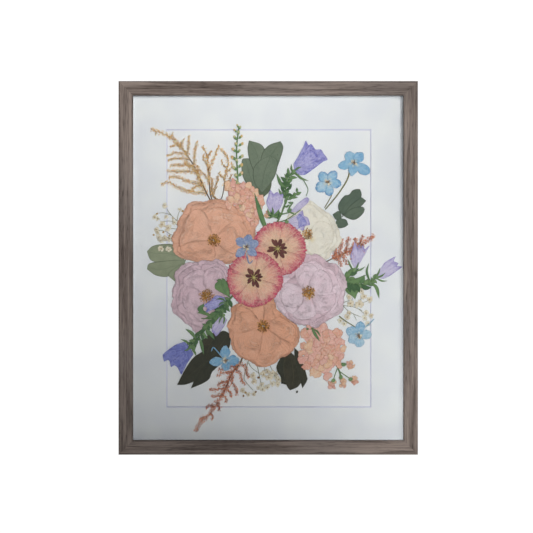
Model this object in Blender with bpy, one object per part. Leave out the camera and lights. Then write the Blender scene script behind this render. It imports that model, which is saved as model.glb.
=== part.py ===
"""A pressed flower frame: a wood picture frame with a glazed, matted bouquet of pressed flowers.

Units are metres. +Z is up and the front faces -Y. The origin is the middle of the top rail's rear face,
where the frame meets the wall. Sizes below are in millimetres, and MM turns them into metres.
Places in the picture are measured from its centre: right of it, then up from it.
"""
import math

import bmesh
import bpy
from mathutils import Matrix, Vector

MM = 0.001
GAP = 0.3                       # air left between pieces that touch

# Frame
OUTER_WIDTH = 431.0
OUTER_HEIGHT = 538.0
FACE_WIDTH = 20.3               # width of a rail seen from the front
REBATE_WIDTH = 6.2              # how far the lip reaches over the pane
FRAME_DEPTH = 25.0
LIP_DEPTH = 5.0
EASED_EDGE = 0.7

# What the rebate holds, from the lip to the back
PANE_THICKNESS = 2.0
SPACER_DEPTH = 6.1
SPACER_WIDTH = 4.0
MAT_THICKNESS = 1.4
CARD_THICKNESS = 1.0
BACK_BOARD_THICKNESS = 3.0
FITTING_PLAY = 0.5              # play between the boards' edges and the rebate

# Window in the mat, and how far its middle lies from the picture's centre
WINDOW_WIDTH = 298.9
WINDOW_HEIGHT = 405.9
WINDOW_RIGHT = 1.0
WINDOW_UP = -0.8

# Back fittings
TAB_LENGTH = 18.0
TAB_WIDTH = 11.0
TAB_THICKNESS = 0.7
TAB_SPACING = 230.0             # between the two tabs of a side rail
TAB_OFFSET = 90.0               # of the top and bottom tabs from the middle
HANGER_LENGTH = 64.0
HANGER_HEIGHT = 12.0
HANGER_THICKNESS = 0.9
HANGER_STAND_OFF = 2.4
HANGER_DROP = 16.0              # from the board's top edge to the hanger's middle
HANGER_TEETH = 11

# Levels of the pressed pieces, in front of the mat
LEAF_THICKNESS = 0.4
LEVEL_STEP = 0.7


def level(number):
    """Height of the back of a pressed piece on the given level, in front of the mat."""
    return GAP + number * LEVEL_STEP


# Depths from the wall plane, as distances towards the viewer
PANE_BACK = FRAME_DEPTH - LIP_DEPTH - GAP - PANE_THICKNESS
SPACER_BACK = PANE_BACK - GAP - SPACER_DEPTH
MAT_FRONT = SPACER_BACK - GAP
CARD_FRONT = MAT_FRONT - MAT_THICKNESS - GAP
BACK_BOARD_FRONT = CARD_FRONT - CARD_THICKNESS - GAP
BACK_BOARD_REAR = BACK_BOARD_FRONT - BACK_BOARD_THICKNESS
PICTURE_CENTRE_Z = -(OUTER_HEIGHT / 2 - (FACE_WIDTH - REBATE_WIDTH) / 2)
REBATE_HALF_WIDTH = OUTER_WIDTH / 2 - FACE_WIDTH + REBATE_WIDTH
REBATE_HALF_HEIGHT = OUTER_HEIGHT / 2 - FACE_WIDTH + REBATE_WIDTH

# Colours, roughness and metallic value of each finish
FINISHES = {
    "weathered_wood": ((0.150, 0.120, 0.105), 0.60, 0.0),
    "clear_pane": ((0.900, 0.930, 0.930), 0.05, 0.0),
    "spacer_strip": ((0.700, 0.690, 0.670), 0.70, 0.0),
    "mat_board": ((0.720, 0.740, 0.760), 0.85, 0.0),
    "backing_card": ((0.760, 0.760, 0.740), 0.85, 0.0),
    "fibreboard": ((0.230, 0.140, 0.075), 0.80, 0.0),
    "steel": ((0.450, 0.450, 0.460), 0.40, 1.0),
    "gold_plume": ((0.480, 0.280, 0.110), 0.75, 0.0),
    "rust_plume": ((0.340, 0.110, 0.055), 0.75, 0.0),
    "green_stem": ((0.085, 0.200, 0.080), 0.65, 0.0),
    "grey_green_leaf": ((0.130, 0.170, 0.120), 0.65, 0.0),
    "dark_leaf": ((0.040, 0.042, 0.028), 0.60, 0.0),
    "violet_bell": ((0.330, 0.300, 0.560), 0.70, 0.0),
    "sky_petal": ((0.210, 0.440, 0.640), 0.65, 0.0),
    "slate_petal": ((0.200, 0.230, 0.420), 0.65, 0.0),
    "white_petal": ((0.820, 0.780, 0.660), 0.70, 0.0),
    "peach_petal": ((0.680, 0.370, 0.250), 0.70, 0.0),
    "lilac_petal": ((0.520, 0.400, 0.450), 0.70, 0.0),
    "stock_petal": ((0.720, 0.440, 0.310), 0.70, 0.0),
    "crimson_petal": ((0.620, 0.190, 0.250), 0.65, 0.0),
    "gold_stamen": ((0.350, 0.190, 0.050), 0.85, 0.0),
    "cream_bloom": ((0.700, 0.640, 0.500), 0.75, 0.0),
}


# ---------------------------------------------------------------- scene and small helpers

def clear_scene():
    """Remove every object of the open file."""
    for old in list(bpy.data.objects):
        bpy.data.objects.remove(old, do_unlink=True)


def collection(name):
    """A new collection linked to the scene."""
    made = bpy.data.collections.new(name)
    bpy.context.scene.collection.children.link(made)
    return made


def material(finish):
    """The Principled material of a finish, made on its first use."""
    made = bpy.data.materials.get(finish)
    if made is None:
        colour, roughness, metallic = FINISHES[finish]
        made = bpy.data.materials.new(finish)
        made.use_nodes = True
        shader = made.node_tree.nodes["Principled BSDF"]
        shader.inputs["Base Color"].default_value = (*colour, 1.0)
        shader.inputs["Roughness"].default_value = roughness
        shader.inputs["Metallic"].default_value = metallic
        made.diffuse_color = (*colour, 1.0)
    return made


def add_part(name, mesh, finish, parent=None):
    """A part's object in the parts collection, with its finish and its parent."""
    part = bpy.data.objects.new(name, mesh)
    mesh.materials.clear()
    mesh.materials.append(material(finish))
    PARTS.objects.link(part)
    part.parent = parent
    return part


def empty(name, location, rotation=(0, 0, 0)):
    """An empty that carries the parts placed from one point."""
    made = bpy.data.objects.new(name, None)
    made.empty_display_size = 20 * MM
    made.location = location
    made.rotation_euler = rotation
    PARTS.objects.link(made)
    return made


def block_mesh(name, width, depth, height):
    """A box mesh about its own middle; sizes in millimetres."""
    shape = bmesh.new()
    bmesh.ops.create_cube(shape, size=1.0)
    bmesh.ops.scale(shape, vec=(width * MM, depth * MM, height * MM), verts=shape.verts)
    mesh = bpy.data.meshes.new(name)
    shape.to_mesh(mesh)
    shape.free()
    return mesh


def shape_from_outline(name, outline, back, front, rounded=False):
    """A flat closed mesh from a filled 2D curve, in millimetres, between two heights.

    A rounded outline passes smoothly through its points; the other kind has straight edges.
    """
    curve = bpy.data.curves.new(name, "CURVE")
    curve.dimensions = "2D"
    curve.fill_mode = "BOTH"
    curve.extrude = (front - back) / 2
    curve.resolution_u = 2
    if rounded:
        spline = curve.splines.new("BEZIER")
        spline.bezier_points.add(len(outline) - 1)
        for knot, (right, up) in zip(spline.bezier_points, outline):
            knot.co = (right, up, 0)
            knot.handle_left_type = "AUTO"
            knot.handle_right_type = "AUTO"
    else:
        spline = curve.splines.new("POLY")
        spline.points.add(len(outline) - 1)
        for knot, (right, up) in zip(spline.points, outline):
            knot.co = (right, up, 0, 1)
    spline.use_cyclic_u = True
    drawn = bpy.data.objects.new(name, curve)
    CUTTERS.objects.link(drawn)
    bpy.context.view_layer.update()
    mesh = bpy.data.meshes.new_from_object(drawn.evaluated_get(bpy.context.evaluated_depsgraph_get()))
    bpy.data.objects.remove(drawn, do_unlink=True)
    shape = bmesh.new()
    shape.from_mesh(mesh)
    bmesh.ops.remove_doubles(shape, verts=shape.verts, dist=0.001)
    bmesh.ops.recalc_face_normals(shape, faces=shape.faces)
    bmesh.ops.translate(shape, verts=shape.verts, vec=(0, 0, (front + back) / 2))
    shape.to_mesh(mesh)
    shape.free()
    return mesh


def fused(name, meshes):
    """One closed mesh in metres from overlapping closed meshes in millimetres."""
    base = bpy.data.objects.new(name, meshes[0])
    CUTTERS.objects.link(base)
    helpers = []
    for index, mesh in enumerate(meshes[1:]):
        helper = bpy.data.objects.new(f"{name}_piece_{index}", mesh)
        helper.hide_render = True
        helper.display_type = "WIRE"
        CUTTERS.objects.link(helper)
        union = base.modifiers.new("union", "BOOLEAN")
        union.operation = "UNION"
        union.object = helper
        helpers.append(helper)
    bpy.context.view_layer.update()
    result = bpy.data.meshes.new_from_object(base.evaluated_get(bpy.context.evaluated_depsgraph_get()))
    for used in [base, *helpers]:
        bpy.data.objects.remove(used, do_unlink=True)
    shape = bmesh.new()
    shape.from_mesh(result)
    bmesh.ops.remove_doubles(shape, verts=shape.verts, dist=0.002)
    bmesh.ops.dissolve_limit(shape, angle_limit=math.radians(0.5), verts=shape.verts, edges=shape.edges)
    bmesh.ops.scale(shape, vec=(MM, MM, MM), verts=shape.verts)
    shape.to_mesh(result)
    shape.free()
    result.name = name
    return result


def press(name, finish, meshes):
    """Add a pressed piece to the picture: its meshes are fused into one body."""
    return add_part(name, fused(name, meshes), finish, PICTURE_PLANE)


def flat(outline, height, thickness=LEAF_THICKNESS, rounded=False):
    """A flat piece of a pressed flower with its back at the given height."""
    return shape_from_outline("flat", outline, height, height + thickness, rounded)


# ---------------------------------------------------------------- outlines that follow a rule

def rosette(centre, radius, lobes, notch=0.82, turn=0.0):
    """Outline of a ring of petals: a notch, then the two shoulders of a petal, all the way round."""
    points = []
    for lobe in range(lobes):
        for share, reach in ((0.0, notch), (0.28, 1.0), (0.72, 1.0)):
            angle = turn + math.tau * (lobe + share) / lobes
            points.append((centre[0] + radius * reach * math.cos(angle),
                           centre[1] + radius * reach * math.sin(angle)))
    return points


def open_flower(centre, tips, width, waist=0.28):
    """Outline of a flower whose petals reach from its centre to the given tips, in turning order."""
    ordered = sorted(tips, key=lambda tip: math.atan2(tip[1] - centre[1], tip[0] - centre[0]))
    hub = Vector(centre)
    points = []
    for tip in ordered:
        along = Vector(tip) - hub
        across = Vector((-along.y, along.x)).normalized()
        for share, side in ((waist, -0.35), (0.66, -1.0), (0.98, -0.45), (0.98, 0.45), (0.66, 1.0)):
            spot = hub + along * share + across * side * width / 2
            points.append((spot.x, spot.y))
    return points


class Shoot:
    """A stem, leaf or branchlet drawn as a flat outline, with the shoots that grow from it.

    path    points from where it leaves its parent to its tip
    width   width at the root
    kind    stem (tapers), leaf (widest a third of the way up), bell (widens to a blunt mouth)
            or plume (a row of small tufts)
    bloom   radius of a round bloom at the tip
    crown   points of a toothed tip, in clockwise order
    """

    TUFT_SPACING = 9.5
    TUFT_WAIST = 0.34

    def __init__(self, path, width, kind="stem", bloom=0.0, crown=(), shoots=()):
        self.path = [Vector(point) for point in path]
        self.width = width
        self.kind = kind
        self.bloom = bloom
        self.crown = crown
        self.shoots = list(shoots)

    def length(self):
        return sum((b - a).length for a, b in zip(self.path, self.path[1:]))

    def point_at(self, distance):
        """Point and direction at a distance along the path."""
        for a, b in zip(self.path, self.path[1:]):
            step = (b - a).length
            if distance <= step or b is self.path[-1]:
                direction = (b - a).normalized()
                return a + direction * min(distance, step), direction
            distance -= step

    def distance_to(self, spot):
        """Distance along the path at which it passes nearest to a spot."""
        best = (1e9, 0.0)
        walked = 0.0
        for a, b in zip(self.path, self.path[1:]):
            step = (b - a).length
            share = max(0.0, min(1.0, (spot - a).dot(b - a) / step ** 2))
            best = min(best, ((a.lerp(b, share) - spot).length, walked + share * step))
            walked += step
        return best[1]

    def half_width(self, share):
        """Half the width at a share of the length."""
        if self.kind == "leaf":
            return self.width / 2 * max(0.16, math.sin(math.pi * share ** 0.75))
        if self.kind == "bell":
            return self.width / 2 * (0.62 + 0.38 * share)
        if self.kind == "plume":
            return self.width / 2 * self.TUFT_WAIST
        return self.width / 2 * (1.0 - 0.45 * share)

    def stations(self):
        """Distances and half widths that the sides pass through."""
        total = self.length()
        if self.kind == "plume":
            count = 2 * max(1, round(total / self.TUFT_SPACING))
            return [(total * (i + 1) / (count + 1), self.width / 2 * (1.0 if i % 2 else self.TUFT_WAIST))
                    for i in range(count)]
        if self.kind == "leaf":
            return [(total * share, self.half_width(share)) for share in (0.15, 0.4, 0.65, 0.85)]
        walked = 0.0
        marks = []
        for a, b in zip(self.path[:-1], self.path[1:-1]):
            walked += (b - a).length
            marks.append((walked, self.half_width(walked / total)))
        return marks

    def tip(self):
        """Points round the tip, from the left side to the right."""
        end = self.path[-1]
        direction = (end - self.path[-2]).normalized()
        left = Vector((-direction.y, direction.x))
        if self.crown:
            points = []
            for number, tooth in enumerate(self.crown):
                if number:
                    before = Vector(self.crown[number - 1])
                    valley = end.lerp((before + Vector(tooth)) / 2, 0.45)
                    points.append(valley)
                points.append(Vector(tooth))
            return points
        if self.bloom:
            middle = end + direction * self.bloom * 0.8
            return [middle + self.bloom * (left * math.sin(angle) + direction * math.cos(angle))
                    for angle in (math.radians(a) for a in (125, 62, 0, -62, -125))]
        if self.kind in ("leaf", "plume"):
            return [end]
        half = self.half_width(1.0)
        return [end + left * half, end - left * half]

    def outline(self, parent_half=0.0):
        """Outline of the shoot and everything on it, clockwise from its root's left side."""
        total = self.length()
        sides = {1: [], -1: []}
        covered = {1: [], -1: []}
        for shoot in self.shoots:
            where = self.distance_to(shoot.path[0])
            way = self.point_at(where)[1]
            heading = (shoot.path[1] - shoot.path[0]).normalized()
            turn = way.x * heading.y - way.y * heading.x
            steepness = max(abs(turn), 0.35)
            side = 1 if turn > 0 else -1
            own_half = self.half_width(where / total)
            root_half = shoot.half_width(0.0)
            reach = (own_half + root_half * math.sqrt(1 - steepness ** 2)) / steepness
            sides[side].append((where, shoot.outline(reach)))
            covered[side].append((where, root_half / steepness + own_half))
        for distance, half in [(parent_half, self.half_width(0.0)), *self.stations()]:
            spot, way = self.point_at(distance)
            across = Vector((-way.y, way.x))
            for side, roots in covered.items():
                hidden = any(abs(distance - where) < spread for where, spread in roots)
                if distance >= parent_half and not hidden:
                    sides[side].append((distance, [spot + across * side * half]))
        left = [point for _, points in sorted(sides[1], key=lambda entry: entry[0]) for point in points]
        right = []
        for distance, points in sorted(sides[-1], key=lambda entry: -entry[0]):
            right.extend(points)
        return left + self.tip() + right


def drawn(shoot):
    """Outline of a shoot as plain pairs."""
    return [(point.x, point.y) for point in shoot.outline()]


# ---------------------------------------------------------------- frame

def mitred_rail_mesh(name, length):
    """A rebated rail with both ends cut at 45 degrees.

    In the mesh X runs from the outer edge inwards, Y from the wall to the front, Z along the rail.
    """
    inner = FACE_WIDTH - REBATE_WIDTH
    profile = [
        (0, 0), (inner, 0), (inner, FRAME_DEPTH - LIP_DEPTH), (FACE_WIDTH, FRAME_DEPTH - LIP_DEPTH),
        (FACE_WIDTH, FRAME_DEPTH - EASED_EDGE), (FACE_WIDTH - EASED_EDGE, FRAME_DEPTH),
        (EASED_EDGE, FRAME_DEPTH), (0, FRAME_DEPTH - EASED_EDGE),
    ]
    mesh = shape_from_outline(name, profile, -length / 2, length / 2)
    shape = bmesh.new()
    shape.from_mesh(mesh)
    for end in (1, -1):
        everything = [*shape.verts, *shape.edges, *shape.faces]
        corner = Vector((0, 0, end * (length / 2 - GAP / math.sqrt(2))))
        cut = bmesh.ops.bisect_plane(shape, geom=everything, plane_co=corner, plane_no=(1, 0, end),
                                     clear_outer=True)
        rim = [item for item in cut["geom_cut"] if isinstance(item, bmesh.types.BMEdge)]
        bmesh.ops.contextual_create(shape, geom=rim)
    bmesh.ops.recalc_face_normals(shape, faces=shape.faces)
    bmesh.ops.scale(shape, vec=(MM, MM, MM), verts=shape.verts)
    shape.to_mesh(mesh)
    shape.free()
    return mesh


def build_rails(centre):
    """Four mitred rails round the picture's centre."""
    top_rail_turn = Matrix(((0, 0, -1), (0, -1, 0), (-1, 0, 0))).to_4x4()
    sides = (
        ("frame_top", 0, OUTER_WIDTH, OUTER_HEIGHT),
        ("frame_right", 90, OUTER_HEIGHT, OUTER_WIDTH),
        ("frame_bottom", 180, OUTER_WIDTH, OUTER_HEIGHT),
        ("frame_left", 270, OUTER_HEIGHT, OUTER_WIDTH),
    )
    for name, turn, length, across in sides:
        rail = add_part(name, mitred_rail_mesh(name, length), "weathered_wood", centre)
        place = Matrix.Translation((0, 0, across / 2 * MM)) @ top_rail_turn
        rail.matrix_local = Matrix.Rotation(math.radians(turn), 4, "Y") @ place


def build_glazing(centre):
    """The pane and the four strips that hold it off the flowers."""
    half_width = REBATE_HALF_WIDTH - FITTING_PLAY
    half_height = REBATE_HALF_HEIGHT - FITTING_PLAY
    pane = add_part("glass_pane", block_mesh("glass_pane", 2 * half_width, PANE_THICKNESS, 2 * half_height),
                    "clear_pane", centre)
    pane.location.y = -(PANE_BACK + PANE_THICKNESS / 2) * MM
    middle = -(SPACER_BACK + SPACER_DEPTH / 2) * MM
    for name, side in (("spacer_top", 1), ("spacer_bottom", -1)):
        mesh = block_mesh(name, 2 * half_width, SPACER_DEPTH, SPACER_WIDTH)
        strip = add_part(name, mesh, "spacer_strip", centre)
        strip.location = (0, middle, side * (half_height - SPACER_WIDTH / 2) * MM)
    for name, side in (("spacer_right", 1), ("spacer_left", -1)):
        mesh = block_mesh(name, SPACER_WIDTH, SPACER_DEPTH, 2 * (half_height - SPACER_WIDTH - GAP))
        strip = add_part(name, mesh, "spacer_strip", centre)
        strip.location = (side * (half_width - SPACER_WIDTH / 2) * MM, middle, 0)


def build_boards(centre):
    """The windowed mat, the card behind it and the back board."""
    width = 2 * (REBATE_HALF_WIDTH - FITTING_PLAY)
    height = 2 * (REBATE_HALF_HEIGHT - FITTING_PLAY)
    mat = add_part("mat_board", block_mesh("mat_board", width, MAT_THICKNESS, height), "mat_board", centre)
    mat.location.y = -(MAT_FRONT - MAT_THICKNESS / 2) * MM

    knife = bmesh.new()
    bmesh.ops.create_cube(knife, size=1.0)
    for corner in knife.verts:
        towards_front = corner.co.y < 0
        bevel = MAT_THICKNESS if towards_front else -MAT_THICKNESS
        corner.co.x *= WINDOW_WIDTH - MAT_THICKNESS + bevel
        corner.co.y *= 2 * MAT_THICKNESS
        corner.co.z *= WINDOW_HEIGHT - MAT_THICKNESS + bevel
    bmesh.ops.scale(knife, vec=(MM, MM, MM), verts=knife.verts)
    mesh = bpy.data.meshes.new("window_knife")
    knife.to_mesh(mesh)
    knife.free()
    cutter = bpy.data.objects.new("window_knife", mesh)
    cutter.hide_render = True
    cutter.display_type = "WIRE"
    cutter.parent = centre
    cutter.location = (WINDOW_RIGHT * MM, mat.location.y, WINDOW_UP * MM)
    CUTTERS.objects.link(cutter)
    window = mat.modifiers.new("window", "BOOLEAN")
    window.operation = "DIFFERENCE"
    window.object = cutter

    card = add_part("backing_card", block_mesh("backing_card", width, CARD_THICKNESS, height),
                    "backing_card", centre)
    card.location.y = -(CARD_FRONT - CARD_THICKNESS / 2) * MM
    board = add_part("back_board", block_mesh("back_board", width, BACK_BOARD_THICKNESS, height),
                     "fibreboard", centre)
    board.location.y = -(BACK_BOARD_FRONT - BACK_BOARD_THICKNESS / 2) * MM


def build_tabs(centre):
    """Round-ended steel tabs, bent from the rails over the back board."""
    half = TAB_WIDTH / 2
    outline = [(GAP, -half), (GAP, half), (TAB_LENGTH - half, half)]
    outline += [(TAB_LENGTH - half + half * math.sin(angle), half * math.cos(angle))
                for angle in (math.radians(step) for step in (30, 60, 90, 120, 150))]
    outline.append((TAB_LENGTH - half, -half))
    front = BACK_BOARD_REAR - GAP
    places = [
        ("tab_top", REBATE_HALF_HEIGHT, TAB_OFFSET, 90),
        ("tab_bottom", REBATE_HALF_HEIGHT, TAB_OFFSET, 270),
    ]
    for number, along in enumerate((TAB_SPACING / 2, -TAB_SPACING / 2), start=1):
        places.append((f"tab_right_{number}", REBATE_HALF_WIDTH, along, 180))
        places.append((f"tab_left_{number}", REBATE_HALF_WIDTH, along, 0))
    for name, reach, along, turn in places:
        mesh = shape_from_outline(name, outline, front - TAB_THICKNESS, front)
        mesh.transform(Matrix.Scale(MM, 4))
        tab = add_part(name, mesh, "steel", centre)
        lie = Matrix.Rotation(math.radians(90), 4, "X")
        place = Matrix.Translation((-reach * MM, 0, along * MM)) @ lie
        tab.matrix_local = Matrix.Rotation(math.radians(turn), 4, "Y") @ place


def build_hanger(centre):
    """A sawtooth hanger: a bridged steel strip whose lower edge is toothed."""
    foot = HANGER_LENGTH / 2
    bridge = foot - 11.0
    ramp = bridge - HANGER_STAND_OFF
    rise = HANGER_STAND_OFF
    thick = HANGER_THICKNESS
    side_view = [
        (-foot, 0), (-bridge, 0), (-ramp, rise), (ramp, rise), (bridge, 0), (foot, 0),
        (foot, thick), (bridge + 0.4, thick), (ramp + 0.4, rise + thick),
        (-ramp - 0.4, rise + thick), (-bridge - 0.4, thick), (-foot, thick),
    ]
    mesh = shape_from_outline("hanger", side_view, -HANGER_HEIGHT / 2, HANGER_HEIGHT / 2)
    mesh.transform(Matrix.Scale(MM, 4))
    hanger = add_part("hanger", mesh, "steel", centre)
    hanger.location = (0, -(BACK_BOARD_REAR - GAP) * MM, (REBATE_HALF_HEIGHT - HANGER_DROP) * MM)

    pitch = 2 * (ramp - 2.0) / HANGER_TEETH
    low = -HANGER_HEIGHT / 2 - 1.0
    teeth = [(-ramp + 2.0, low)]
    for tooth in range(HANGER_TEETH):
        teeth.append((-ramp + 2.0 + (tooth + 0.5) * pitch, -HANGER_HEIGHT / 2 + 2.6))
        teeth.append((-ramp + 2.0 + (tooth + 1) * pitch, -HANGER_HEIGHT / 2 + 0.4))
    teeth[-1] = (ramp - 2.0, low)
    saw = shape_from_outline("hanger_saw", teeth, -thick, rise + 2 * thick)
    saw.transform(Matrix.Rotation(math.radians(90), 4, "X") @ Matrix.Scale(MM, 4))
    cutter = bpy.data.objects.new("hanger_saw", saw)
    cutter.hide_render = True
    cutter.display_type = "WIRE"
    cutter.parent = centre
    cutter.location = hanger.location
    cutter.rotation_euler.z = math.pi
    CUTTERS.objects.link(cutter)
    cut = hanger.modifiers.new("teeth", "BOOLEAN")
    cut.operation = "DIFFERENCE"
    cut.object = cutter


# ---------------------------------------------------------------- roses

RING_RISE = 0.2                 # each inner ring of petals stands this much higher

ROSES = {
    # name: finish, level, stamen centre, stamen radius, outline, inner rings (reach, lobes, turn)
    "peach_rose_left": (
        "peach_petal", level(2), (-80, 40.6), 8.6,
        ((-142.9, 28.3), (-140.9, 46.4), (-132.7, 58.4), (-131.8, 69.3), (-120, 89.9), (-110.5, 97.1),
            (-96.2, 96.6), (-80.6, 99.7), (-64.5, 98.7), (-47.1, 84.5), (-33.8, 72.8), (-23.6, 52.4),
            (-28, 26.1), (-47, 8.6), (-57.8, 5.8), (-84.9, 4.2), (-115.2, 10.8), (-131.1, 16.3)),
        ((27.0, 6, 0.3), (18.0, 5, 0.9))),
    "peach_rose_bottom": (
        "peach_petal", level(2), (-6.8, -85.4), 8.6,
        ((-35.2, -45.6), (-53.7, -58), (-53.7, -70.4), (-61.7, -84.6), (-60, -96.8), (-54.6, -104),
            (-52.8, -116.4), (-42.3, -130.6), (-28.1, -135.8), (-14.9, -144), (-1.6, -144.7),
            (10.8, -140.2), (18.9, -130.6), (28.5, -127.9), (40, -117.3), (46.2, -103.1), (43.5, -85.4),
            (33, -77.4), (22.4, -67.6), (13.5, -58), (5.6, -42.1), (-14.9, -38.1)),
        ((38.0, 6, 0.0), (25.0, 5, 0.5))),
    "lilac_rose_left": (
        "lilac_petal", level(3), (-90.3, -39.9), 10.5,
        ((-122.9, 6.3), (-109.9, 11.8), (-94, 12.2), (-81.9, 10), (-73.6, 13.3), (-57.8, 3.5),
            (-48.4, -17.7), (-57.2, -46.9), (-71.8, -64.4), (-87, -79.9), (-93.7, -91), (-101.9, -96.3),
            (-110.9, -91.7), (-120.6, -83.5), (-127.6, -73.8), (-138.7, -64.6), (-142, -52.4),
            (-140.6, -35.7), (-135.9, -18.9), (-136.9, -7.8)),
        ((34.0, 6, 0.2), (23.0, 5, 0.8))),
    "lilac_rose_right": (
        "lilac_petal", level(3), (59.9, -36.1), 10.0,
        ((7.3, -39.3), (17.1, -14.2), (37.3, -4.3), (48.9, 15), (62.4, 22.6), (75.8, 17.6), (88.4, 8.4),
            (100.9, 5.1), (112.8, -15.9), (116.8, -35.2), (111, -49.5), (106.8, -64.6), (79.3, -82.1),
            (69.1, -89.2), (58, -86), (41.4, -82.1), (33, -76.5), (19.7, -67.6), (13.5, -56.2)),
        ((37.0, 6, 0.1), (24.0, 5, 0.6))),
    "white_rose": (
        "white_petal", level(1), (55.2, 49.2), 6.6,
        ((46.5, 93.3), (60.6, 98.5), (72.2, 90.9), (80.8, 83.6), (91.6, 77.8), (97.7, 67), (105.5, 53),
            (108.5, 42.2), (103.1, 31.4), (91.6, 20.6), (88.5, 11.2), (69.8, 2.7), (46.5, 8.6),
            (28.9, 26.1), (23.1, 52.4), (30.4, 78.7)),
        ((26.0, 5, 0.4), (17.0, 5, 1.0))),
}
STAMEN_RISE = 0.4


def build_roses():
    """Open roses: a wide ring of petals, two raised inner rings, and the stamens on top."""
    for name, (finish, height, centre, stamen_radius, outline, rings) in ROSES.items():
        meshes = [flat(outline, height, rounded=True)]
        top = height + LEAF_THICKNESS
        for reach, lobes, turn in rings:
            top += RING_RISE
            ring = rosette(centre, reach, lobes, turn=turn)
            meshes.append(flat(ring, height + 0.1, top - height - 0.1))
        press(name, finish, meshes)
        tuft = rosette(centre, stamen_radius, 7, notch=0.78)
        press(f"{name}_stamens", "gold_stamen", [flat(tuft, top + GAP, STAMEN_RISE)])


# ---------------------------------------------------------------- round crimson-edged blooms

RANUNCULUSES = {
    # name: back height, centre, radius of the outer ring, turn
    "ranunculus_upper": (4.1, (14.3, 28.4), 39.0, 0.1),
    "ranunculus_lower": (4.85, (-20.7, -14.8), 39.0, 0.4),
}


def build_ranunculuses():
    """Two blooms of ruffled petals with a raised star in the middle."""
    for name, (height, centre, radius, turn) in RANUNCULUSES.items():
        outer = flat(rosette(centre, radius, 9, notch=0.93, turn=turn), height, 0.3)
        inner = flat(rosette(centre, radius * 0.68, 8, notch=0.92, turn=turn), height + 0.1, 0.32)
        star = flat(rosette(centre, radius * 0.35, 8, notch=0.72, turn=turn), height + 0.2, 0.32)
        press(name, "crimson_petal", [outer, inner, star])


# ---------------------------------------------------------------- delphinium florets

DELPHINIUMS = {
    # name: finish, height, centre, petal width, petal tips, and the stem or spur
    "delphinium_top_left": (
        "sky_petal", level(0), (87.2, 125.1), 13.0,
        ((98.3, 143.9), (70.6, 138.5), (69.8, 107.9), (89.5, 103.5), (104.6, 118.1)),
        Shoot(((88.1, 116.6), (92.9, 107.7), (82.2, 90.4)), 1.2)),
    "delphinium_top_right": (
        "sky_petal", level(0), (125.5, 156.1), 14.0,
        ((113.6, 171.4), (140.6, 170.7), (147.9, 140.7), (122.4, 136.4), (101.2, 147.3)),
        Shoot(((120.9, 148.8), (117.6, 129), (88.1, 88.9)), 1.5)),
    "delphinium_centre": (
        "slate_petal", 5.55, (-31.8, 31.8), 11.0,
        ((-47.7, 42.2), (-27.3, 48), (-14.1, 37.1), (-20, 17.3), (-46.3, 15.2)),
        Shoot(((-32.1, 29), (-32.7, 19.2), (-28.6, 9.8), (-22.2, 9.2)), 2.4)),
    "delphinium_right": (
        "sky_petal", level(1), (131.6, -98.7), 12.5,
        ((137.7, -75.4), (114.4, -84.9), (112.9, -105.3), (132.6, -116.3), (152.3, -95.1)),
        Shoot(((128.2, -96.5), (119.5, -82.7), (102, -70.3)), 1.7)),
    "delphinium_bottom": (
        "sky_petal", level(1), (-62, -134.9), 11.5,
        ((-61.6, -112.6), (-82.8, -138.2), (-64.5, -151.3), (-43.3, -143.3), (-47, -122.8)),
        Shoot(((-64.5, -131.6), (-69.2, -126), (-78.4, -117.3), (-82, -119.3)), 3.0)),
}


def build_delphiniums():
    """Single florets of five petals round a raised eye, with the stem or spur behind."""
    for name, (finish, height, centre, width, tips, stalk) in DELPHINIUMS.items():
        petals = flat(open_flower(centre, tips, width), height + 0.05, 0.3)
        eye = flat(rosette(centre, width * 0.27, 5, notch=0.8), height + 0.1, 0.38)
        press(name, finish, [petals, flat(drawn(stalk), height, 0.25), eye])


# ---------------------------------------------------------------- leaf bunches

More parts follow.
